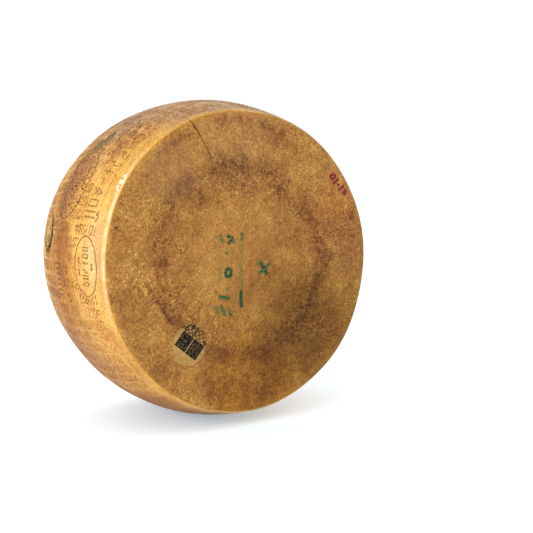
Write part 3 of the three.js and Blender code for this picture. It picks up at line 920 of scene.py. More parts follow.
# Dried milk protein, milky and waxy, with matt dark ink that has broken up a little
casein = bpy.data.materials.new("dried casein with dark print")
tree, shader = surface_of(casein)
place = add(tree, "ShaderNodeTexCoord").outputs["Object"]
right = Vector((math.cos(PRINT_TURN), 0, math.sin(PRINT_TURN))) / MM
upward = Vector((-math.sin(PRINT_TURN), 0, math.cos(PRINT_TURN))) / MM
from_middle = add(tree, "ShaderNodeVectorMath", [place, plate_middle], operation="SUBTRACT")
u = add(tree, "ShaderNodeVectorMath", [from_middle, right], operation="DOT_PRODUCT")
v = add(tree, "ShaderNodeVectorMath", [from_middle, upward], operation="DOT_PRODUCT")
ink = block_print(tree, u, v)
for row in RING_ROWS:
    ink = add(tree, "ShaderNodeMath", [ink, ring_print(tree, u, v, row)], operation="MAXIMUM")
worn = add(tree, "ShaderNodeTexNoise", {"Vector": place, **RUBBED_PATCHES})
kept = add(tree, "ShaderNodeMapRange", [worn, *PRINT_KEPT])
ink = add(tree, "ShaderNodeMath", [ink, kept], operation="MULTIPLY")
milky = add(tree, "ShaderNodeValToRGB", [worn], stops=shades(CASEIN_SHADES))
yellow = add(tree, "ShaderNodeMapRange", [v, *YELLOWED])
milky = add(tree, "ShaderNodeMix", [yellow, milky, colour(YELLOWED_CASEIN)], data_type="RGBA")
paint = add(tree, "ShaderNodeMix", [ink, milky, colour(PRINT_INK)], data_type="RGBA")
gloss = add(tree, "ShaderNodeMapRange", [ink, 0, 1, CASEIN_GLOSS, INK_GLOSS])
feed(shader, {"Base Color": paint, "Specular IOR Level": gloss, "Roughness": 0.5})

plate = in_scene("casein_plate_disc", plate_mesh())
plate.data.materials.append(casein)
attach(plate, "root")
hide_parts("casein_plate")


# The pressed legend: the mould's band leaves rows of fine pin marks all round the side, shallow and
# a shade browner than the rind. The rows are plain ornaments of dots.
ORNAMENTS = [
    (".#.", "#.#", "#.#", "#.#", ".#."),
    ("###", "#.#", "#.#", "#.#", "###"),
    ("###", "#.#", ".#.", "#.#", "###"),
    (".#.", "###", ".#.", "###", ".#."),
    ("#.#", "#.#", "#.#", "#.#", "#.#"),
    ("#.#", ".#.", "#.#", ".#.", "#.#"),
    ("#..", "##.", ".#.", ".##", "..#"),
]
ORNAMENTS_MISSING = 0.12
LEGEND_ROWS = 76
FIRST_ROW = 0.25
LEGEND_PITCH = 10.6 * MM
LEGEND_REACH = 94 * MM
LEGEND_SEED = 4
DOT_PITCH = (2.9 * MM, 2.8 * MM)
DOT_SHAKE = 0.3
DOTS_MISSING = 0.10
DOT_RADIUS = 1.95 * MM
DOT_HEIGHT = 0.28 * MM
# A dot's size varies between these shares, and its mesh has a sunk middle, a lip and a buried edge:
# reach and level in shares of its size, and how deep in its pit each of them lies
DOT_SIZES = (0.75, 1.2)
LEGEND_SIZES_SEED = 3
DOT_SIDES = 5
DOT_MIDDLE = (0, 0.1, 1)
DOT_LIP = (0.72, 1, 0.75)
DOT_EDGE = (1, -0.4, 0.3)
# Distance round the side is measured on a circle of this radius
AROUND = BELLY_RADIUS
# Places that other marks or the ground take: angle, distance along, half lengths round and along
TAKEN = [(151.5, -11 * MM, 52 * MM, 38 * MM), (179.4, -77.5 * MM, 44 * MM, 26 * MM),
         (151.5, -77 * MM, 52 * MM, 17 * MM), (185, -6 * MM, 26 * MM, 10 * MM),
         (270, 0, 34 * MM, 36 * MM)]
# Marks are laid on the rind along rays that start outside the wheel, at this share of its size
RAY_START = 1.1
RAY_LENGTH = 60 * MM


def on_side(angle, y):
    """A place on the side, as metres along the axis and round it."""
    return y, math.radians(angle) * AROUND


def is_taken(y, around):
    """Whether something else takes a place on the side."""
    for angle, middle, half_round, half_along in TAKEN:
        off = (around - math.radians(angle) * AROUND) / half_round
        if off ** 2 + ((y - middle) / half_along) ** 2 < 1:
            return True
    return False


def lay_on_rind_tree():
    """Lays a flat layout on the side, as (along, round, height), or on the face, as (x, z, height)."""
    tree = geometry_tree("lay on the rind", {"Wheel": "Geometry", "On face": "Bool"})
    given = add(tree, "NodeGroupInput").outputs
    layout = add(tree, "GeometryNodeInputPosition")
    parts = add(tree, "ShaderNodeSeparateXYZ", [layout]).outputs
    turn = add(tree, "ShaderNodeMath", [parts["Y"], AROUND], operation="DIVIDE")
    cosine = add(tree, "ShaderNodeMath", [turn], operation="COSINE")
    sine = add(tree, "ShaderNodeMath", [turn], operation="SINE")
    outwards = add(tree, "ShaderNodeCombineXYZ", [cosine, 0, sine])
    inwards = add(tree, "ShaderNodeVectorMath", [outwards, -1], operation="SCALE")
    far = add(tree, "ShaderNodeVectorMath", [outwards, RAY_START * BELLY_RADIUS], operation="SCALE")
    level = add(tree, "ShaderNodeCombineXYZ", [0, parts["X"], 0])
    level = add(tree, "ShaderNodeVectorMath", [level, AXIS], operation="ADD")
    beside = add(tree, "ShaderNodeVectorMath", [far, level], operation="ADD")
    before = add(tree, "ShaderNodeCombineXYZ", [parts["X"], -RAY_START * HALF, parts["Y"]])
    before = add(tree, "ShaderNodeVectorMath", [before, AXIS], operation="ADD")
    start = add(tree, "GeometryNodeSwitch", {"Switch": given["On face"], "False": beside, "True": before},
                input_type="VECTOR")
    way = add(tree, "GeometryNodeSwitch", {"Switch": given["On face"], "False": inwards, "True": (0, 1, 0)},
              input_type="VECTOR")
    ray = add(tree, "GeometryNodeRaycast", {"Target Geometry": given["Wheel"], "Source Position": start,
                                            "Ray Direction": way, "Ray Length": RAY_LENGTH}).outputs
    lift = add(tree, "ShaderNodeVectorMath", [ray["Hit Normal"], parts["Z"]], operation="SCALE")
    laid = add(tree, "ShaderNodeVectorMath", [ray["Hit Position"], lift], operation="ADD")
    missed = add(tree, "FunctionNodeBooleanMath", [ray["Is Hit"]], operation="NOT")
    kept = add(tree, "GeometryNodeDeleteGeometry", {"Geometry": given["Geometry"], "Selection": missed})
    moved = add(tree, "GeometryNodeSetPosition", {"Geometry": kept, "Position": laid})
    add(tree, "NodeGroupOutput", [moved])
    return tree


def pin_marks_tree():
    """Sets a small pressed mark on every point of a flat layout and lays them all on the rind."""
    tree = geometry_tree("pin marks", {"Mark": "Object", "Wheel": "Object", "On face": "Bool",
                                       "Radius": "Float", "Height": "Float", "Seed": "Int",
                                       "Surface": "Material"})
    given = add(tree, "NodeGroupInput").outputs
    mark = add(tree, "GeometryNodeObjectInfo", {"Object": given["Mark"]}).outputs["Geometry"]
    wheel_shape = add(tree, "GeometryNodeObjectInfo", {"Object": given["Wheel"]}).outputs["Geometry"]
    turn = add(tree, "FunctionNodeRandomValue",
               {"Min": (0, 0, 0), "Max": (0, 0, math.tau), "Seed": given["Seed"]},
               data_type="FLOAT_VECTOR")
    share = add(tree, "FunctionNodeRandomValue",
                {2: DOT_SIZES[0], 3: DOT_SIZES[1], "Seed": given["Seed"]})
    size = add(tree, "ShaderNodeCombineXYZ", [given["Radius"], given["Radius"], given["Height"]])
    size = add(tree, "ShaderNodeVectorMath", [size, share], operation="SCALE")
    marks = add(tree, "GeometryNodeInstanceOnPoints", {"Points": given["Geometry"], "Instance": mark,
                                                       "Rotation": turn, "Scale": size})
    real = add(tree, "GeometryNodeRealizeInstances", [marks])
    laid = add(tree, "GeometryNodeGroup",
               {"Geometry": real, "Wheel": wheel_shape, "On face": given["On face"]},
               node_tree=lay_on_rind)
    return dressed_tree(tree, laid, given["Surface"])


def layout_mesh(name, points, edges=(), faces=()):
    """A mesh of loose points, lines or faces."""
    mesh = bpy.data.meshes.new(name)
    mesh.from_pydata(points, edges, faces)
    return mesh


def mark_mesh():
    """A closed mark of unit size, with the attribute pit, which is 1 where the mark is deepest."""
    points, pits = [(0, 0, DOT_MIDDLE[1])], [DOT_MIDDLE[2]]
    for reach, level, pit in (DOT_LIP, DOT_EDGE):
        for i in range(DOT_SIDES):
            turn = math.tau * i / DOT_SIDES
            points.append((reach * math.cos(turn), reach * math.sin(turn), level))
            pits.append(pit)
    faces = []
    for i in range(DOT_SIDES):
        after = (i + 1) % DOT_SIDES
        faces += [(0, 1 + i, 1 + after), (1 + i, 1 + DOT_SIDES + i, 1 + DOT_SIDES + after, 1 + after)]
    faces.append(tuple(reversed(range(1 + DOT_SIDES, 1 + 2 * DOT_SIDES))))
    mesh = layout_mesh("pressed_mark", points, faces=faces)
    mesh.attributes.new("pit", "FLOAT", "POINT").data.foreach_set("value", pits)
    return mesh


def legend_points(draw):
    """Places of the dots of the legend, one ornament after the other in rows along the axis."""
    points = []
    per_row = round(2 * LEGEND_REACH / LEGEND_PITCH)
    for row in range(LEGEND_ROWS):
        around = math.tau * (row + FIRST_ROW) / LEGEND_ROWS * AROUND
        shift = draw.uniform(-0.5, 0.5) * LEGEND_PITCH
        for step in range(per_row):
            start = -LEGEND_REACH + step * LEGEND_PITCH + shift
            ornament = draw.choice(ORNAMENTS)
            if draw.random() < ORNAMENTS_MISSING:
                continue
            for i, line in enumerate(ornament):
                for j, sign in enumerate(line):
                    y = start + j * DOT_PITCH[0] + draw.uniform(-DOT_SHAKE, DOT_SHAKE) * MM
                    place = around + (i - 2) * DOT_PITCH[1] + draw.uniform(-DOT_SHAKE, DOT_SHAKE) * MM
                    missing = draw.random() < DOTS_MISSING
                    if sign == "#" and not missing and not is_taken(y, place) and abs(y) < LEGEND_REACH:
                        points.append((y, place, 0))
    return points


# Wear of pressed marks: it comes in patches, rubs them away near the top, and is less low down.
# Heights are above the ground. Pits are dark, partly painted shade; lips, a little paler than the rind,
# painted highlight
WEAR_PATCHES = {"Scale": 1 / (35 * MM), "Detail": 2}
WEAR = (0.4, 0.6, 0.55, 1.2)
RUBBED_TOP = (390 * MM, 430 * MM, 1, 0.6)
FRESH_BELOW_BELLY = (130 * MM, 200 * MM, 0.85, 1.25)
PIT_START = DOT_EDGE[2]
LIP_HIGHLIGHT_RANGE = (PIT_START, 0.6, 0.45, 0)
LIP_HIGHLIGHT = "#f6d48e"


def pressed_material(name, darkest, strength):
    """The rind's colour, darker in the marks' pits, partly painted shade, with a painted highlight on their
    lips.
    """
    material = bpy.data.materials.new(name)
    tree, shader = surface_of(material)
    looks = add(tree, "ShaderNodeGroup", node_tree=rind_colour).outputs
    pit = add(tree, "ShaderNodeAttribute", attribute_name="pit").outputs["Fac"]
    place = add(tree, "ShaderNodeTexCoord").outputs["Object"]
    height = add(tree, "ShaderNodeSeparateXYZ", [place]).outputs["Z"]
    start, end, least, most = WEAR
    kept = add(tree, "ShaderNodeTexNoise", {"Vector": place, **WEAR_PATCHES})
    kept = add(tree, "ShaderNodeMapRange", [kept, start, end, least * strength, most * strength])
    for zone in (RUBBED_TOP, FRESH_BELOW_BELLY):
        share = add(tree, "ShaderNodeMapRange", [height, *zone])
        kept = add(tree, "ShaderNodeMath", [kept, share], operation="MULTIPLY")
    # Darker pits are partly painted shade; the paler lips are a painted highlight
    dark = add(tree, "ShaderNodeMapRange", [pit, PIT_START, 1, 0, kept])
    lip_highlight = add(tree, "ShaderNodeMapRange", [pit, *LIP_HIGHLIGHT_RANGE])
    pale = add(tree, "ShaderNodeMix", [lip_highlight, looks["Colour"], colour(LIP_HIGHLIGHT)], data_type="RGBA")
    paint = add(tree, "ShaderNodeMix", [dark, pale, colour(darkest)], data_type="RGBA")
    feed(shader, {"Base Color": paint, "Roughness": 0.5, "Specular IOR Level": RIND_GLOSS})
    return material


def lay(name, tree, layout, on_face, values):
    """Makes a piece of marks from a flat layout, laid on the face or on the side, and lets it ride."""
    piece = grown(name, layout, tree, {"Wheel": wheel, "On face": on_face, **values})
    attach(piece, "root")


lay_on_rind = lay_on_rind_tree()
pin_marks = pin_marks_tree()
mark = in_scene("pressed_mark", mark_mesh())
# Rind pressed by a pin: a shade browner in its pit, partly painted shade, so that the rows show softly
pin_pressed = pressed_material("rind pressed by pins", darkest="#824718", strength=0.88)
legend = layout_mesh("legend_layout", legend_points(random.Random(LEGEND_SEED)))
lay("pressed_legend", pin_marks, legend, False, {
    "Mark": mark, "Radius": DOT_RADIUS, "Height": DOT_HEIGHT, "Seed": LEGEND_SIZES_SEED,
    "Surface": pin_pressed})


# The dotted oval: a seal pricked and burnt into the side by hand, two dotted rings with short
# marks between them and a field of dots inside.
SEAL = {"angle": 151.5, "y": -11 * MM}
SEAL_RINGS = [{"half_round": 48 * MM, "half_along": 35 * MM},
              {"half_round": 33 * MM, "half_along": 22 * MM}]
SEAL_PITCH = 4.4 * MM
SEAL_TICKS = 30
TICK_SHARES = (0.35, 0.65)
SEAL_FIELD = {"pitch": 4.6 * MM, "half_round": 28 * MM, "half_along": 17 * MM, "kept": 0.75}
FIELD_COLUMNS = range(-7, 8)
FIELD_ROWS = range(-4, 5)
SEAL_KEPT = 0.7
SEAL_SHAKE = 1
SEAL_DOT_RADIUS = 2.0 * MM
SEAL_SEED = 9
SEAL_SIZES_SEED = 5


def oval_points(middle, half_round, half_along, turns):
    """Points of an oval on the side, given by their turns round its middle."""
    y, around = middle
    return [(y + half_along * math.sin(turn), around + half_round * math.cos(turn)) for turn in turns]


def seal_points(draw):
    """Places of the seal's dots."""
    outer, inner = SEAL_RINGS
    points = []
    for ring in SEAL_RINGS:
        count = round(math.pi * (ring["half_round"] + ring["half_along"]) / SEAL_PITCH)
        points += oval_points((0, 0), **ring, turns=[math.tau * i / count for i in range(count)])
    for i in range(SEAL_TICKS):
        for share in TICK_SHARES:
            size = {way: inner[way] + (outer[way] - inner[way]) * share for way in outer}
            points += oval_points((0, 0), **size, turns=[math.tau * (i + 0.5) / SEAL_TICKS])
    for i in FIELD_COLUMNS:
        for j in FIELD_ROWS:
            around, y = i * SEAL_FIELD["pitch"], (j + 0.5 * (i % 2)) * SEAL_FIELD["pitch"]
            off = (around / SEAL_FIELD["half_round"]) ** 2 + (y / SEAL_FIELD["half_along"]) ** 2
            if off < 1 and draw.random() < SEAL_FIELD["kept"]:
                points.append((y, around))
    shaken = [(y + draw.uniform(-SEAL_SHAKE, SEAL_SHAKE) * MM,
               around + draw.uniform(-SEAL_SHAKE, SEAL_SHAKE) * MM)
              for y, around in points if draw.random() < SEAL_KEPT]
    middle_y, middle_around = on_side(**SEAL)
    return [(y + middle_y, around + middle_around, 0) for y, around in shaken]


# Rind scorched and pricked by the seal: almost black in its pits
scorched = pressed_material("rind scorched by the seal", darkest="#2e160a", strength=1.2)
seal = layout_mesh("seal_layout", seal_points(random.Random(SEAL_SEED)))
lay("dotted_seal", pin_marks, seal, False, {
    "Mark": mark, "Radius": SEAL_DOT_RADIUS, "Height": DOT_HEIGHT, "Seed": SEAL_SIZES_SEED,
    "Surface": scorched})
first = mark.data
bpy.data.objects.remove(mark)
bpy.data.meshes.remove(first)


# The branded marks: a band of plain shapes, an oval with three rows and a short column, burnt into
# the side with hot irons as thin brown lines, and a few scratches and loops drawn with a point.
LINE_WIDTH = 2.9 * MM
LINE_HEIGHT = 0.10 * MM
SHAPES = {
    "square": [[(0.1, 0.1), (0.9, 0.1), (0.9, 0.9), (0.1, 0.9), (0.1, 0.1)]],
    "diamond": [[(0.5, 0), (1, 0.5), (0.5, 1), (0, 0.5), (0.5, 0)]],
    "steps": [[(0, 0), (0, 0.5), (0.5, 0.5), (0.5, 1), (1, 1)]],
    "bars": [[(0.15, 0), (0.15, 1)], [(0.85, 0), (0.85, 1)]],
    "cross": [[(0.5, 0), (0.5, 1)], [(0, 0.5), (1, 0.5)]],
    "chevrons": [[(0, 0.95), (0.5, 0.45), (1, 0.95)], [(0, 0.55), (0.5, 0.05), (1, 0.55)]],
    "dash": [[(0, 0.5), (1, 0.5)]],
}
# Places are angles and distances along the axis. A strength is how dark a line is burnt
SHAPE_BAND = {"start": 163, "y": (-87 * MM, -65 * MM), "width": 11 * MM, "pitch": 15.6 * MM,
              "shapes": ["bars", "square", "chevrons", "dash", "cross", "steps"], "strength": 0.64}
BAND_FRAME = {"y": (-93 * MM, -60 * MM), "before": 3 * MM, "short": 0.1, "strength": 0.3}
OVAL_BRAND = {"angle": 179.4, "y": -77.5 * MM, "half_round": 40.5 * MM, "half_along": 22.5 * MM}
OVAL_STRENGTH = 0.68
OVAL_STEPS = 72
# Rows in the oval: low and high along the axis from its middle, width and pitch of the shapes
OVAL_ROWS = [
    (-6.5 * MM, 6.5 * MM, 6.0 * MM, 9.4 * MM, ["diamond", "bars", "steps", "cross", "square", "bars"]),
    (11 * MM, 15.5 * MM, 3 * MM, 5 * MM, ["bars", "cross", "dash", "diamond", "bars"]),
    (-15.5 * MM, -11 * MM, 3 * MM, 5.5 * MM, ["square", "chevrons"]),
]
ROWS_STRENGTH = 0.7
# Outlines of the seal: half lengths round and along, strength
SEAL_OUTLINES = [(50 * MM, 35 * MM, 0.7), (35 * MM, 22 * MM, 0.25)]
# Scratched strokes above the band: (angle, distance along the axis in millimetres)
SCRATCHES = [[(121, -36), (124, -46)], [(124.5, -58), (127.5, -60), (130, -66)], [(131, -38), (133.5, -46)],
             [(133, -52), (135.5, -58), (134, -63)], [(128, -80), (131, -76), (131, -69)]]
SCRATCH_STRENGTH = 1.1
# Loops near them: angle, distance along the axis, half lengths round and along in millimetres, strength
LOOPS = [(130.6, -83, 9, 6, 0.75), (134.6, -67, 7, 5, 0.6), (136.6, -58, 8, 4, 0.7), (133, -46, 6, 5, 0.5)]
LOOP_STEPS = 66
COLUMN = {"angles": [179.3, 181.1, 182.9, 184.9, 186.6, 188.5, 190.3], "y": (-12 * MM, 1 * MM),
          "bent": 0.8 * MM, "strength": 1}
# A ribbon's fineness, and how its width follows the pressure of the hand
RIBBON_STEP = 1.1 * MM
RIBBON_SIDES = 8
PRESSURE = {"Scale": 1 / (5 * MM), "Detail": 2}
PRESSED_WIDTH = (0.3, 0.7, 0.7, 1.25)


def strokes_tree():
    """Draws the lines of a flat layout as thin uneven ribbons and lays them on the rind."""
    tree = geometry_tree("strokes", {"Wheel": "Object", "On face": "Bool", "Width": "Float",
                                     "Height": "Float", "Wobble": "Float", "Wobble size": "Float",
                                     "Surface": "Material"})
    given = add(tree, "NodeGroupInput").outputs
    wheel_shape = add(tree, "GeometryNodeObjectInfo", {"Object": given["Wheel"]}).outputs["Geometry"]
    lines = add(tree, "GeometryNodeMeshToCurve", [given["Geometry"]])
    fine = add(tree, "GeometryNodeResampleCurve", {"Curve": lines, "Length": RIBBON_STEP}, mode="LENGTH")
    fineness = add(tree, "ShaderNodeMath", [1, given["Wobble size"]], operation="DIVIDE")
    noise = add(tree, "ShaderNodeTexNoise", {"Scale": fineness, "Detail": 1}).outputs["Color"]
    centred = add(tree, "ShaderNodeVectorMath", [noise, (0.5, 0.5, 0.5)], operation="SUBTRACT")
    level = add(tree, "ShaderNodeVectorMath", [centred, (1, 1, 0)], operation="MULTIPLY")
    offset = add(tree, "ShaderNodeVectorMath", [level, given["Wobble"]], operation="SCALE")
    shaken = add(tree, "GeometryNodeSetPosition", {"Geometry": fine, "Offset": offset})
    upright = add(tree, "GeometryNodeSetCurveNormal", [shaken], mode="Z_UP")
    pressure = add(tree, "ShaderNodeTexNoise", PRESSURE)
    width = add(tree, "ShaderNodeMapRange", [pressure, *PRESSED_WIDTH])
    pressed = add(tree, "GeometryNodeSetCurveRadius", {"Curve": upright, "Radius": width})
    half = add(tree, "ShaderNodeMath", [given["Width"], 2], operation="DIVIDE")
    across = add(tree, "ShaderNodeCombineXYZ", [half, given["Height"], 1])
    ring = add(tree, "GeometryNodeCurvePrimitiveCircle", {"Resolution": RIBBON_SIDES, "Radius": 1})
    place = add(tree, "GeometryNodeInputPosition")
    sideways = add(tree, "ShaderNodeSeparateXYZ", [place]).outputs["X"]
    sideways = add(tree, "ShaderNodeMath", [sideways], operation="ABSOLUTE")
    core = add(tree, "ShaderNodeMath", [1, sideways], operation="SUBTRACT")
    ring = add(tree, "GeometryNodeStoreNamedAttribute", {"Geometry": ring, "Name": "core", "Value": core})
    profile = add(tree, "GeometryNodeTransform", {"Geometry": ring, "Scale": across})
    ribbon = add(tree, "GeometryNodeCurveToMesh", {"Curve": pressed, "Profile Curve": profile,
                                                   "Fill Caps": True})
    laid = add(tree, "GeometryNodeGroup",
               {"Geometry": ribbon, "Wheel": wheel_shape, "On face": given["On face"]},
               node_tree=lay_on_rind)
    return dressed_tree(tree, laid, given["Surface"])


def lines_mesh(name, lines):
    """A flat layout of lines, each a list of points and its strength of ink or burn."""
    points, edges, strengths = [], [], []
    for line, strength in lines:
        edges += [(len(points) + i, len(points) + i + 1) for i in range(len(line) - 1)]
        points += [(a, b, 0) for a, b in line]
        strengths += [strength] * len(line)
    mesh = layout_mesh(name, points, edges)
    mesh.attributes.new("ink", "FLOAT", "POINT").data.foreach_set("value", strengths)
    return mesh


def placed_shape(kind, around, low, high, width, strength):
    """The lines of a plain shape, its width round the side and its height along the axis."""
    return [([(low + (high - low) * up, around - width * right) for right, up in line], strength)
            for line in SHAPES[kind]]


def brand_lines():
    """Band of shapes, oval with its three rows, outlines of the seal, scratches, loops and column."""
    lines = []
    _, around = on_side(SHAPE_BAND["start"], 0)
    low, high = SHAPE_BAND["y"]
    for i, kind in enumerate(SHAPE_BAND["shapes"]):
        lines += placed_shape(kind, around - i * SHAPE_BAND["pitch"], low, high, SHAPE_BAND["width"],
                              SHAPE_BAND["strength"])
    reach = (len(SHAPE_BAND["shapes"]) - BAND_FRAME["short"]) * SHAPE_BAND["pitch"]
    for y in BAND_FRAME["y"]:
        lines.append(([(y, around + BAND_FRAME["before"]), (y, around - reach)], BAND_FRAME["strength"]))
    turns = [math.tau * i / OVAL_STEPS for i in range(OVAL_STEPS + 1)]
    middle = on_side(OVAL_BRAND["angle"], OVAL_BRAND["y"])
    lines.append((oval_points(middle, OVAL_BRAND["half_round"], OVAL_BRAND["half_along"], turns),
                  OVAL_STRENGTH))
    for low, high, width, pitch, kinds in OVAL_ROWS:
        first = middle[1] + (len(kinds) * pitch - (pitch - width)) / 2
        for i, kind in enumerate(kinds):
            lines += placed_shape(kind, first - i * pitch, middle[0] + low, middle[0] + high, width,
                                  ROWS_STRENGTH)
    for half_round, half_along, strength in SEAL_OUTLINES:
        lines.append((oval_points(on_side(**SEAL), half_round, half_along, turns), strength))
    for scratch in SCRATCHES:
        lines.append(([on_side(angle, y * MM) for angle, y in scratch], SCRATCH_STRENGTH))
    for angle, y, half_round, half_along, strength in LOOPS:
        lines.append((oval_points(on_side(angle, y * MM), half_round * MM, half_along * MM,
                                  turns[:LOOP_STEPS]), strength))
    low, high = COLUMN["y"]
    for angle in COLUMN["angles"]:
        _, place = on_side(angle, low)
        lines.append(([(low, place), ((low + high) / 2, place + COLUMN["bent"]), (high, place)],
                      COLUMN["strength"]))
    return lines


# How the rind's grain breaks up a soaked mark, and from where its core is fully dense
SOAKING = {"Scale": 1 / (2.6 * MM), "Detail": 2}
SOAKED = (0.3, 0.55, 0.45, 1.1)
DENSE = (0.4, 0.95, 0, 0.95)


def ink_material(name, thin, dense, spread, gloss=RIND_GLOSS):
    """A mark soaked into the rind, thin at its edges and dense in its core, broken up by the grain."""
    material = bpy.data.materials.new(name)
    tree, shader = surface_of(material)
    looks = add(tree, "ShaderNodeGroup", node_tree=rind_colour).outputs
    place = add(tree, "ShaderNodeTexCoord").outputs["Object"]
    strength = add(tree, "ShaderNodeAttribute", attribute_name="ink").outputs["Fac"]
    core = add(tree, "ShaderNodeAttribute", attribute_name="core").outputs["Fac"]
    core = add(tree, "ShaderNodeMath", [core, spread], operation="MULTIPLY", use_clamp=True)
    soaked = add(tree, "ShaderNodeTexNoise", {"Vector": place, **SOAKING})
    soaked = add(tree, "ShaderNodeMapRange", [soaked, *SOAKED])
    share = add(tree, "ShaderNodeMath", [strength, soaked], operation="MULTIPLY")
    share = add(tree, "ShaderNodeMath", [share, core], operation="MULTIPLY", use_clamp=True)
    film = add(tree, "ShaderNodeMix", [share, looks["Colour"], colour(thin)], data_type="RGBA")
    full = add(tree, "ShaderNodeMapRange", [share, *DENSE])
    paint = add(tree, "ShaderNodeMix", [full, film, colour(dense)], data_type="RGBA")
    feed(shader, {"Base Color": paint, "Roughness": 0.55, "Specular IOR Level": gloss})
    return material


strokes = strokes_tree()
# Thin scorched line, brown and broken up
branded = ink_material("rind scorched by a branding line", thin="#8c5224", dense="#5c2c0c", spread=1.7)
lay("branded_lines", strokes, lines_mesh("brand_layout", brand_lines()), False, {
    "Width": LINE_WIDTH, "Height": LINE_HEIGHT, "Wobble": 1.6 * MM, "Wobble size": 9 * MM,
    "Surface": branded})


# The green pen: short notes on the face, and a thick ring and smudges on the side, drawn by hand
# with a felt pen and soaked into the rind. They are plain hooks, dashes and a cross.
INK_HEIGHT = 0.08 * MM
# Lines of (x, z) in millimetres from the axis, and the strength of their ink
GREEN_NOTES = [
    ([(-41, 40), (-36, 28)], 0.6), ([(-30, 38), (-22, 33), (-29, 27)], 0.9), ([(-23, 38), (-19, 27)], 0.7),
    ([(-32, 13), (-29, 16)], 0.6), ([(-43, -4), (-42, -14), (-43, -24)], 0.42),
    ([(-33, -9), (-28, -6), (-24, -10), (-25, -17), (-31, -17), (-33, -10)], 0.9),
    ([(-31, -32), (-29, -35)], 0.55), ([(-44, -42), (-36, -45), (-26, -46)], 0.8),
    ([(-50, -54), (-44, -66)], 0.5), ([(-41, -55), (-34, -70)], 0.65), ([(-30, -58), (-24, -71)], 0.65),
    ([(-8, 42), (-7, 35), (-9, 30)], 0.65), ([(-9, 30), (-9, 17)], 0.36), ([(-9, 17), (-9, 1)], 0.22),
    ([(-9, 1), (-9, -38)], 0.33), ([(-9, -36), (-9, -48), (-9, -60)], 1.1), ([(-10, -46), (-8, -60)], 0.9),
    ([(22, 1), (26, -7), (33, -18)], 1.0), ([(38, -1), (31, -8), (25, -12), (18, -15)], 0.75),
    ([(16, -4), (19, 2), (24, 0)], 0.5), ([(27, -5), (31, -12)], 1.1), ([(35, -1), (38, -7)], 0.45),
]
# The ring is drawn in short arcs and fades away from its darkest turn
GREEN_RING = {"angle": 169.5, "y": 48 * MM, "half_round": 25 * MM, "half_along": 22 * MM}
RING_ARCS = 24
ARC_STEPS = 3
RING_STRENGTH = {"middle": 1.1, "change": 0.95, "turn": 1.1}
# Smudged strokes above the seal: lines of (angle, distance along the axis in millimetres), strength
GREEN_STROKES = [
    ([(129.5, -17), (133, -10), (136.5, -3)], 0.7), ([(136, -4), (140, 6), (143.5, 15)], 0.55),
    ([(131.5, -22), (135, -15), (138.5, -8)], 0.6), ([(134, -26), (137.5, -19)], 0.5),
    ([(133, 4), (137.5, 13), (142, 22)], 0.5), ([(129, -10), (131.5, -4)], 0.6),
    ([(130.5, -12), (134, -4), (138, 4)], 0.7), ([(138, 8), (143, 16), (147, 22)], 0.45),
    ([(134.5, -12), (138.5, -2)], 0.55),
]


def green_side_lines():
    """The ring on the side, in arcs of changing strength, and the smudged strokes."""
    lines = []
    middle = on_side(GREEN_RING["angle"], GREEN_RING["y"])
    for i in range(RING_ARCS):
        turns = [math.tau * (i + part / ARC_STEPS) / RING_ARCS for part in range(ARC_STEPS + 1)]
        arc = oval_points(middle, GREEN_RING["half_round"], GREEN_RING["half_along"], turns)
        change = RING_STRENGTH["change"] * math.sin(turns[1] - RING_STRENGTH["turn"])
        lines.append((arc, RING_STRENGTH["middle"] - change))
    for stroke, strength in GREEN_STROKES:
        lines.append(([on_side(angle, y * MM) for angle, y in stroke], strength))
    return lines


# Green ink in the dry grain of the face: clear green at the edges, dark where the pen went slowly
green_ink = ink_material("green pen ink in the rind", thin="#2f6234", dense="#06381c", spread=1.9)
notes = [([(x * MM, z * MM) for x, z in line], strength) for line, strength in GREEN_NOTES]
lay("green_notes", strokes, lines_mesh("green_layout", notes), True, {
    "Width": 6.6 * MM, "Height": INK_HEIGHT, "Wobble": 1.5 * MM, "Wobble size": 6 * MM,
    "Surface": green_ink})
# The same ink laid thickly on the waxy side: nearly black, greyish at the edges and without gloss
dark_green_ink = ink_material("dark green pen ink in the side", thin="#58705f", dense="#051c20",
                              spread=2.2, gloss=0)
lay("green_side_marks", strokes, lines_mesh("ring_layout", green_side_lines()), False, {
    "Width": 10 * MM, "Height": INK_HEIGHT, "Wobble": 3 * MM, "Wobble size": 14 * MM,
    "Surface": dark_green_ink})


# The red pen: a short row of marks by the right edge of the face, drawn with a finer felt pen and
# soaked into the rind. They are a ring, dashes and a small cross.
RED_START = (141, 119)
RED_ALONG = (0.69, -0.72)
RED_UP = (0.72, 0.69)
# Lines in millimetres along the row and up from it, and the height of the row's middle
RED_NOTES = [
    [(0, 2), (1, 9), (6, 10), (7, 3), (0, 2)], [(11, -1), (13, 11)], [(16, 4), (21, 6)],
    [(24, -1), (27, 11)], [(31, 2), (37, 9)], [(31, 9), (37, 2)],
]
RED_MIDDLE = 6
RED_STRENGTH = 0.95


def red_line(line):
    """One line of the red row, as places on the face."""
    return [tuple((RED_START[i] + a * RED_ALONG[i] + (b - RED_MIDDLE) * RED_UP[i]) * MM for i in (0, 1))
            for a, b in line]


# Red ink in the grain of the face: dark crimson, a little clearer at the edges
red_ink = ink_material("red pen ink in the rind", thin="#9a2030", dense="#6c061e", spread=1.8)
notes = [(red_line(line), RED_STRENGTH) for line in RED_NOTES]
lay("red_notes", strokes, lines_mesh("red_layout", notes), True, {
    "Width": 5.2 * MM, "Height": INK_HEIGHT, "Wobble": 0.9 * MM, "Wobble size": 5 * MM,
    "Surface": red_ink})


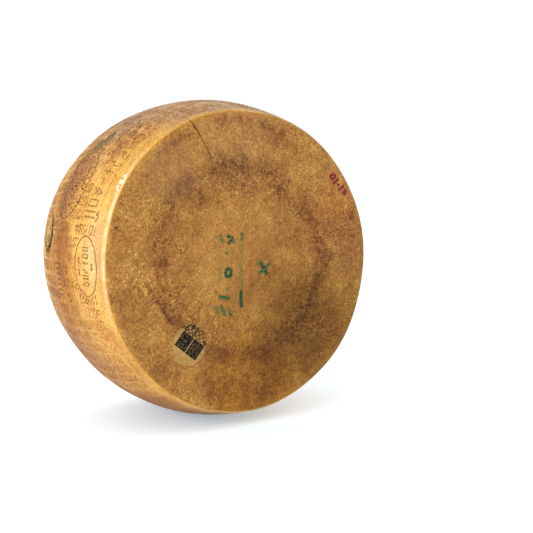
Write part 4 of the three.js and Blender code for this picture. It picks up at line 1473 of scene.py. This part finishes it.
# The floor: a wide white studio sheet under the wheel, so wide that its far edge stays out of sight.
# It is lit from below, so that the wheel's shadow on it stays pale and slightly blue.
FLOOR = {"left": -30, "right": 30, "front": -30, "back": 60}
floor = in_scene("white_floor", layout_mesh("white_floor", [
    (FLOOR["left"], FLOOR["front"], 0), (FLOOR["right"], FLOOR["front"], 0),
    (FLOOR["right"], FLOOR["back"], 0), (FLOOR["left"], FLOOR["back"], 0)], faces=[(0, 1, 2, 3)]))
# Matt white plastic sheet, which gives off a little bluish light of its own
white = bpy.data.materials.new("white sheet lit from below")
tree, shader = surface_of(white)
feed(shader, {"Base Color": colour("#f0f3f4"), "Emission Color": colour("#ccebff"),
              "Emission Strength": 0.38, "Roughness": 0.9, "Specular IOR Level": 0.05})
floor.data.materials.append(white)


# The light: a white room all round, which fills the shadows evenly, and one large soft lamp, which
# stands to the left of the camera and shapes the bulging side.
ROOM_STRENGTH = 1
LAMP_PLACE = Vector((-2.3, -1.15, 0.9))
LAMP_TARGET = Vector((0, 0, 0.25))
LAMP_SIDE = 1.5
LAMP_POWER = 28


def turned_to(way):
    """The turn that makes a lamp or a camera look along a way."""
    return way.to_track_quat("-Z", "Y").to_euler()


world = bpy.data.worlds.new("white room")
bpy.context.scene.world = world
world.use_nodes = True
feed(world.node_tree.nodes["Background"], {"Color": colour("#ffffff"), "Strength": ROOM_STRENGTH})
light = bpy.data.lights.new("key", "AREA")
light.shape = "RECTANGLE"
light.size = LAMP_SIDE
light.size_y = LAMP_SIDE
light.energy = LAMP_POWER
lamp = in_scene("key", light)
lamp.location = LAMP_PLACE
lamp.rotation_euler = turned_to(LAMP_TARGET - LAMP_PLACE)


# The camera: placed by the wheel's outline and the edge of its face. It stands a little higher than
# the wheel's middle and looks slightly down, with the marked face on the right of the side.
LENS = 60.19
SENSOR = 36
CAMERA_PLACE = Vector((-0.6171, -1.1439, 0.3324))
CAMERA_WAY = Vector((0.5317, 0.8418, -0.0933))
camera_data = bpy.data.cameras.new("camera")
camera_data.lens = LENS
camera_data.sensor_width = SENSOR
camera = in_scene("camera", camera_data)
camera.location = CAMERA_PLACE
camera.rotation_euler = turned_to(CAMERA_WAY)
bpy.context.scene.camera = camera
bpy.context.scene.view_settings.view_transform = "Standard"
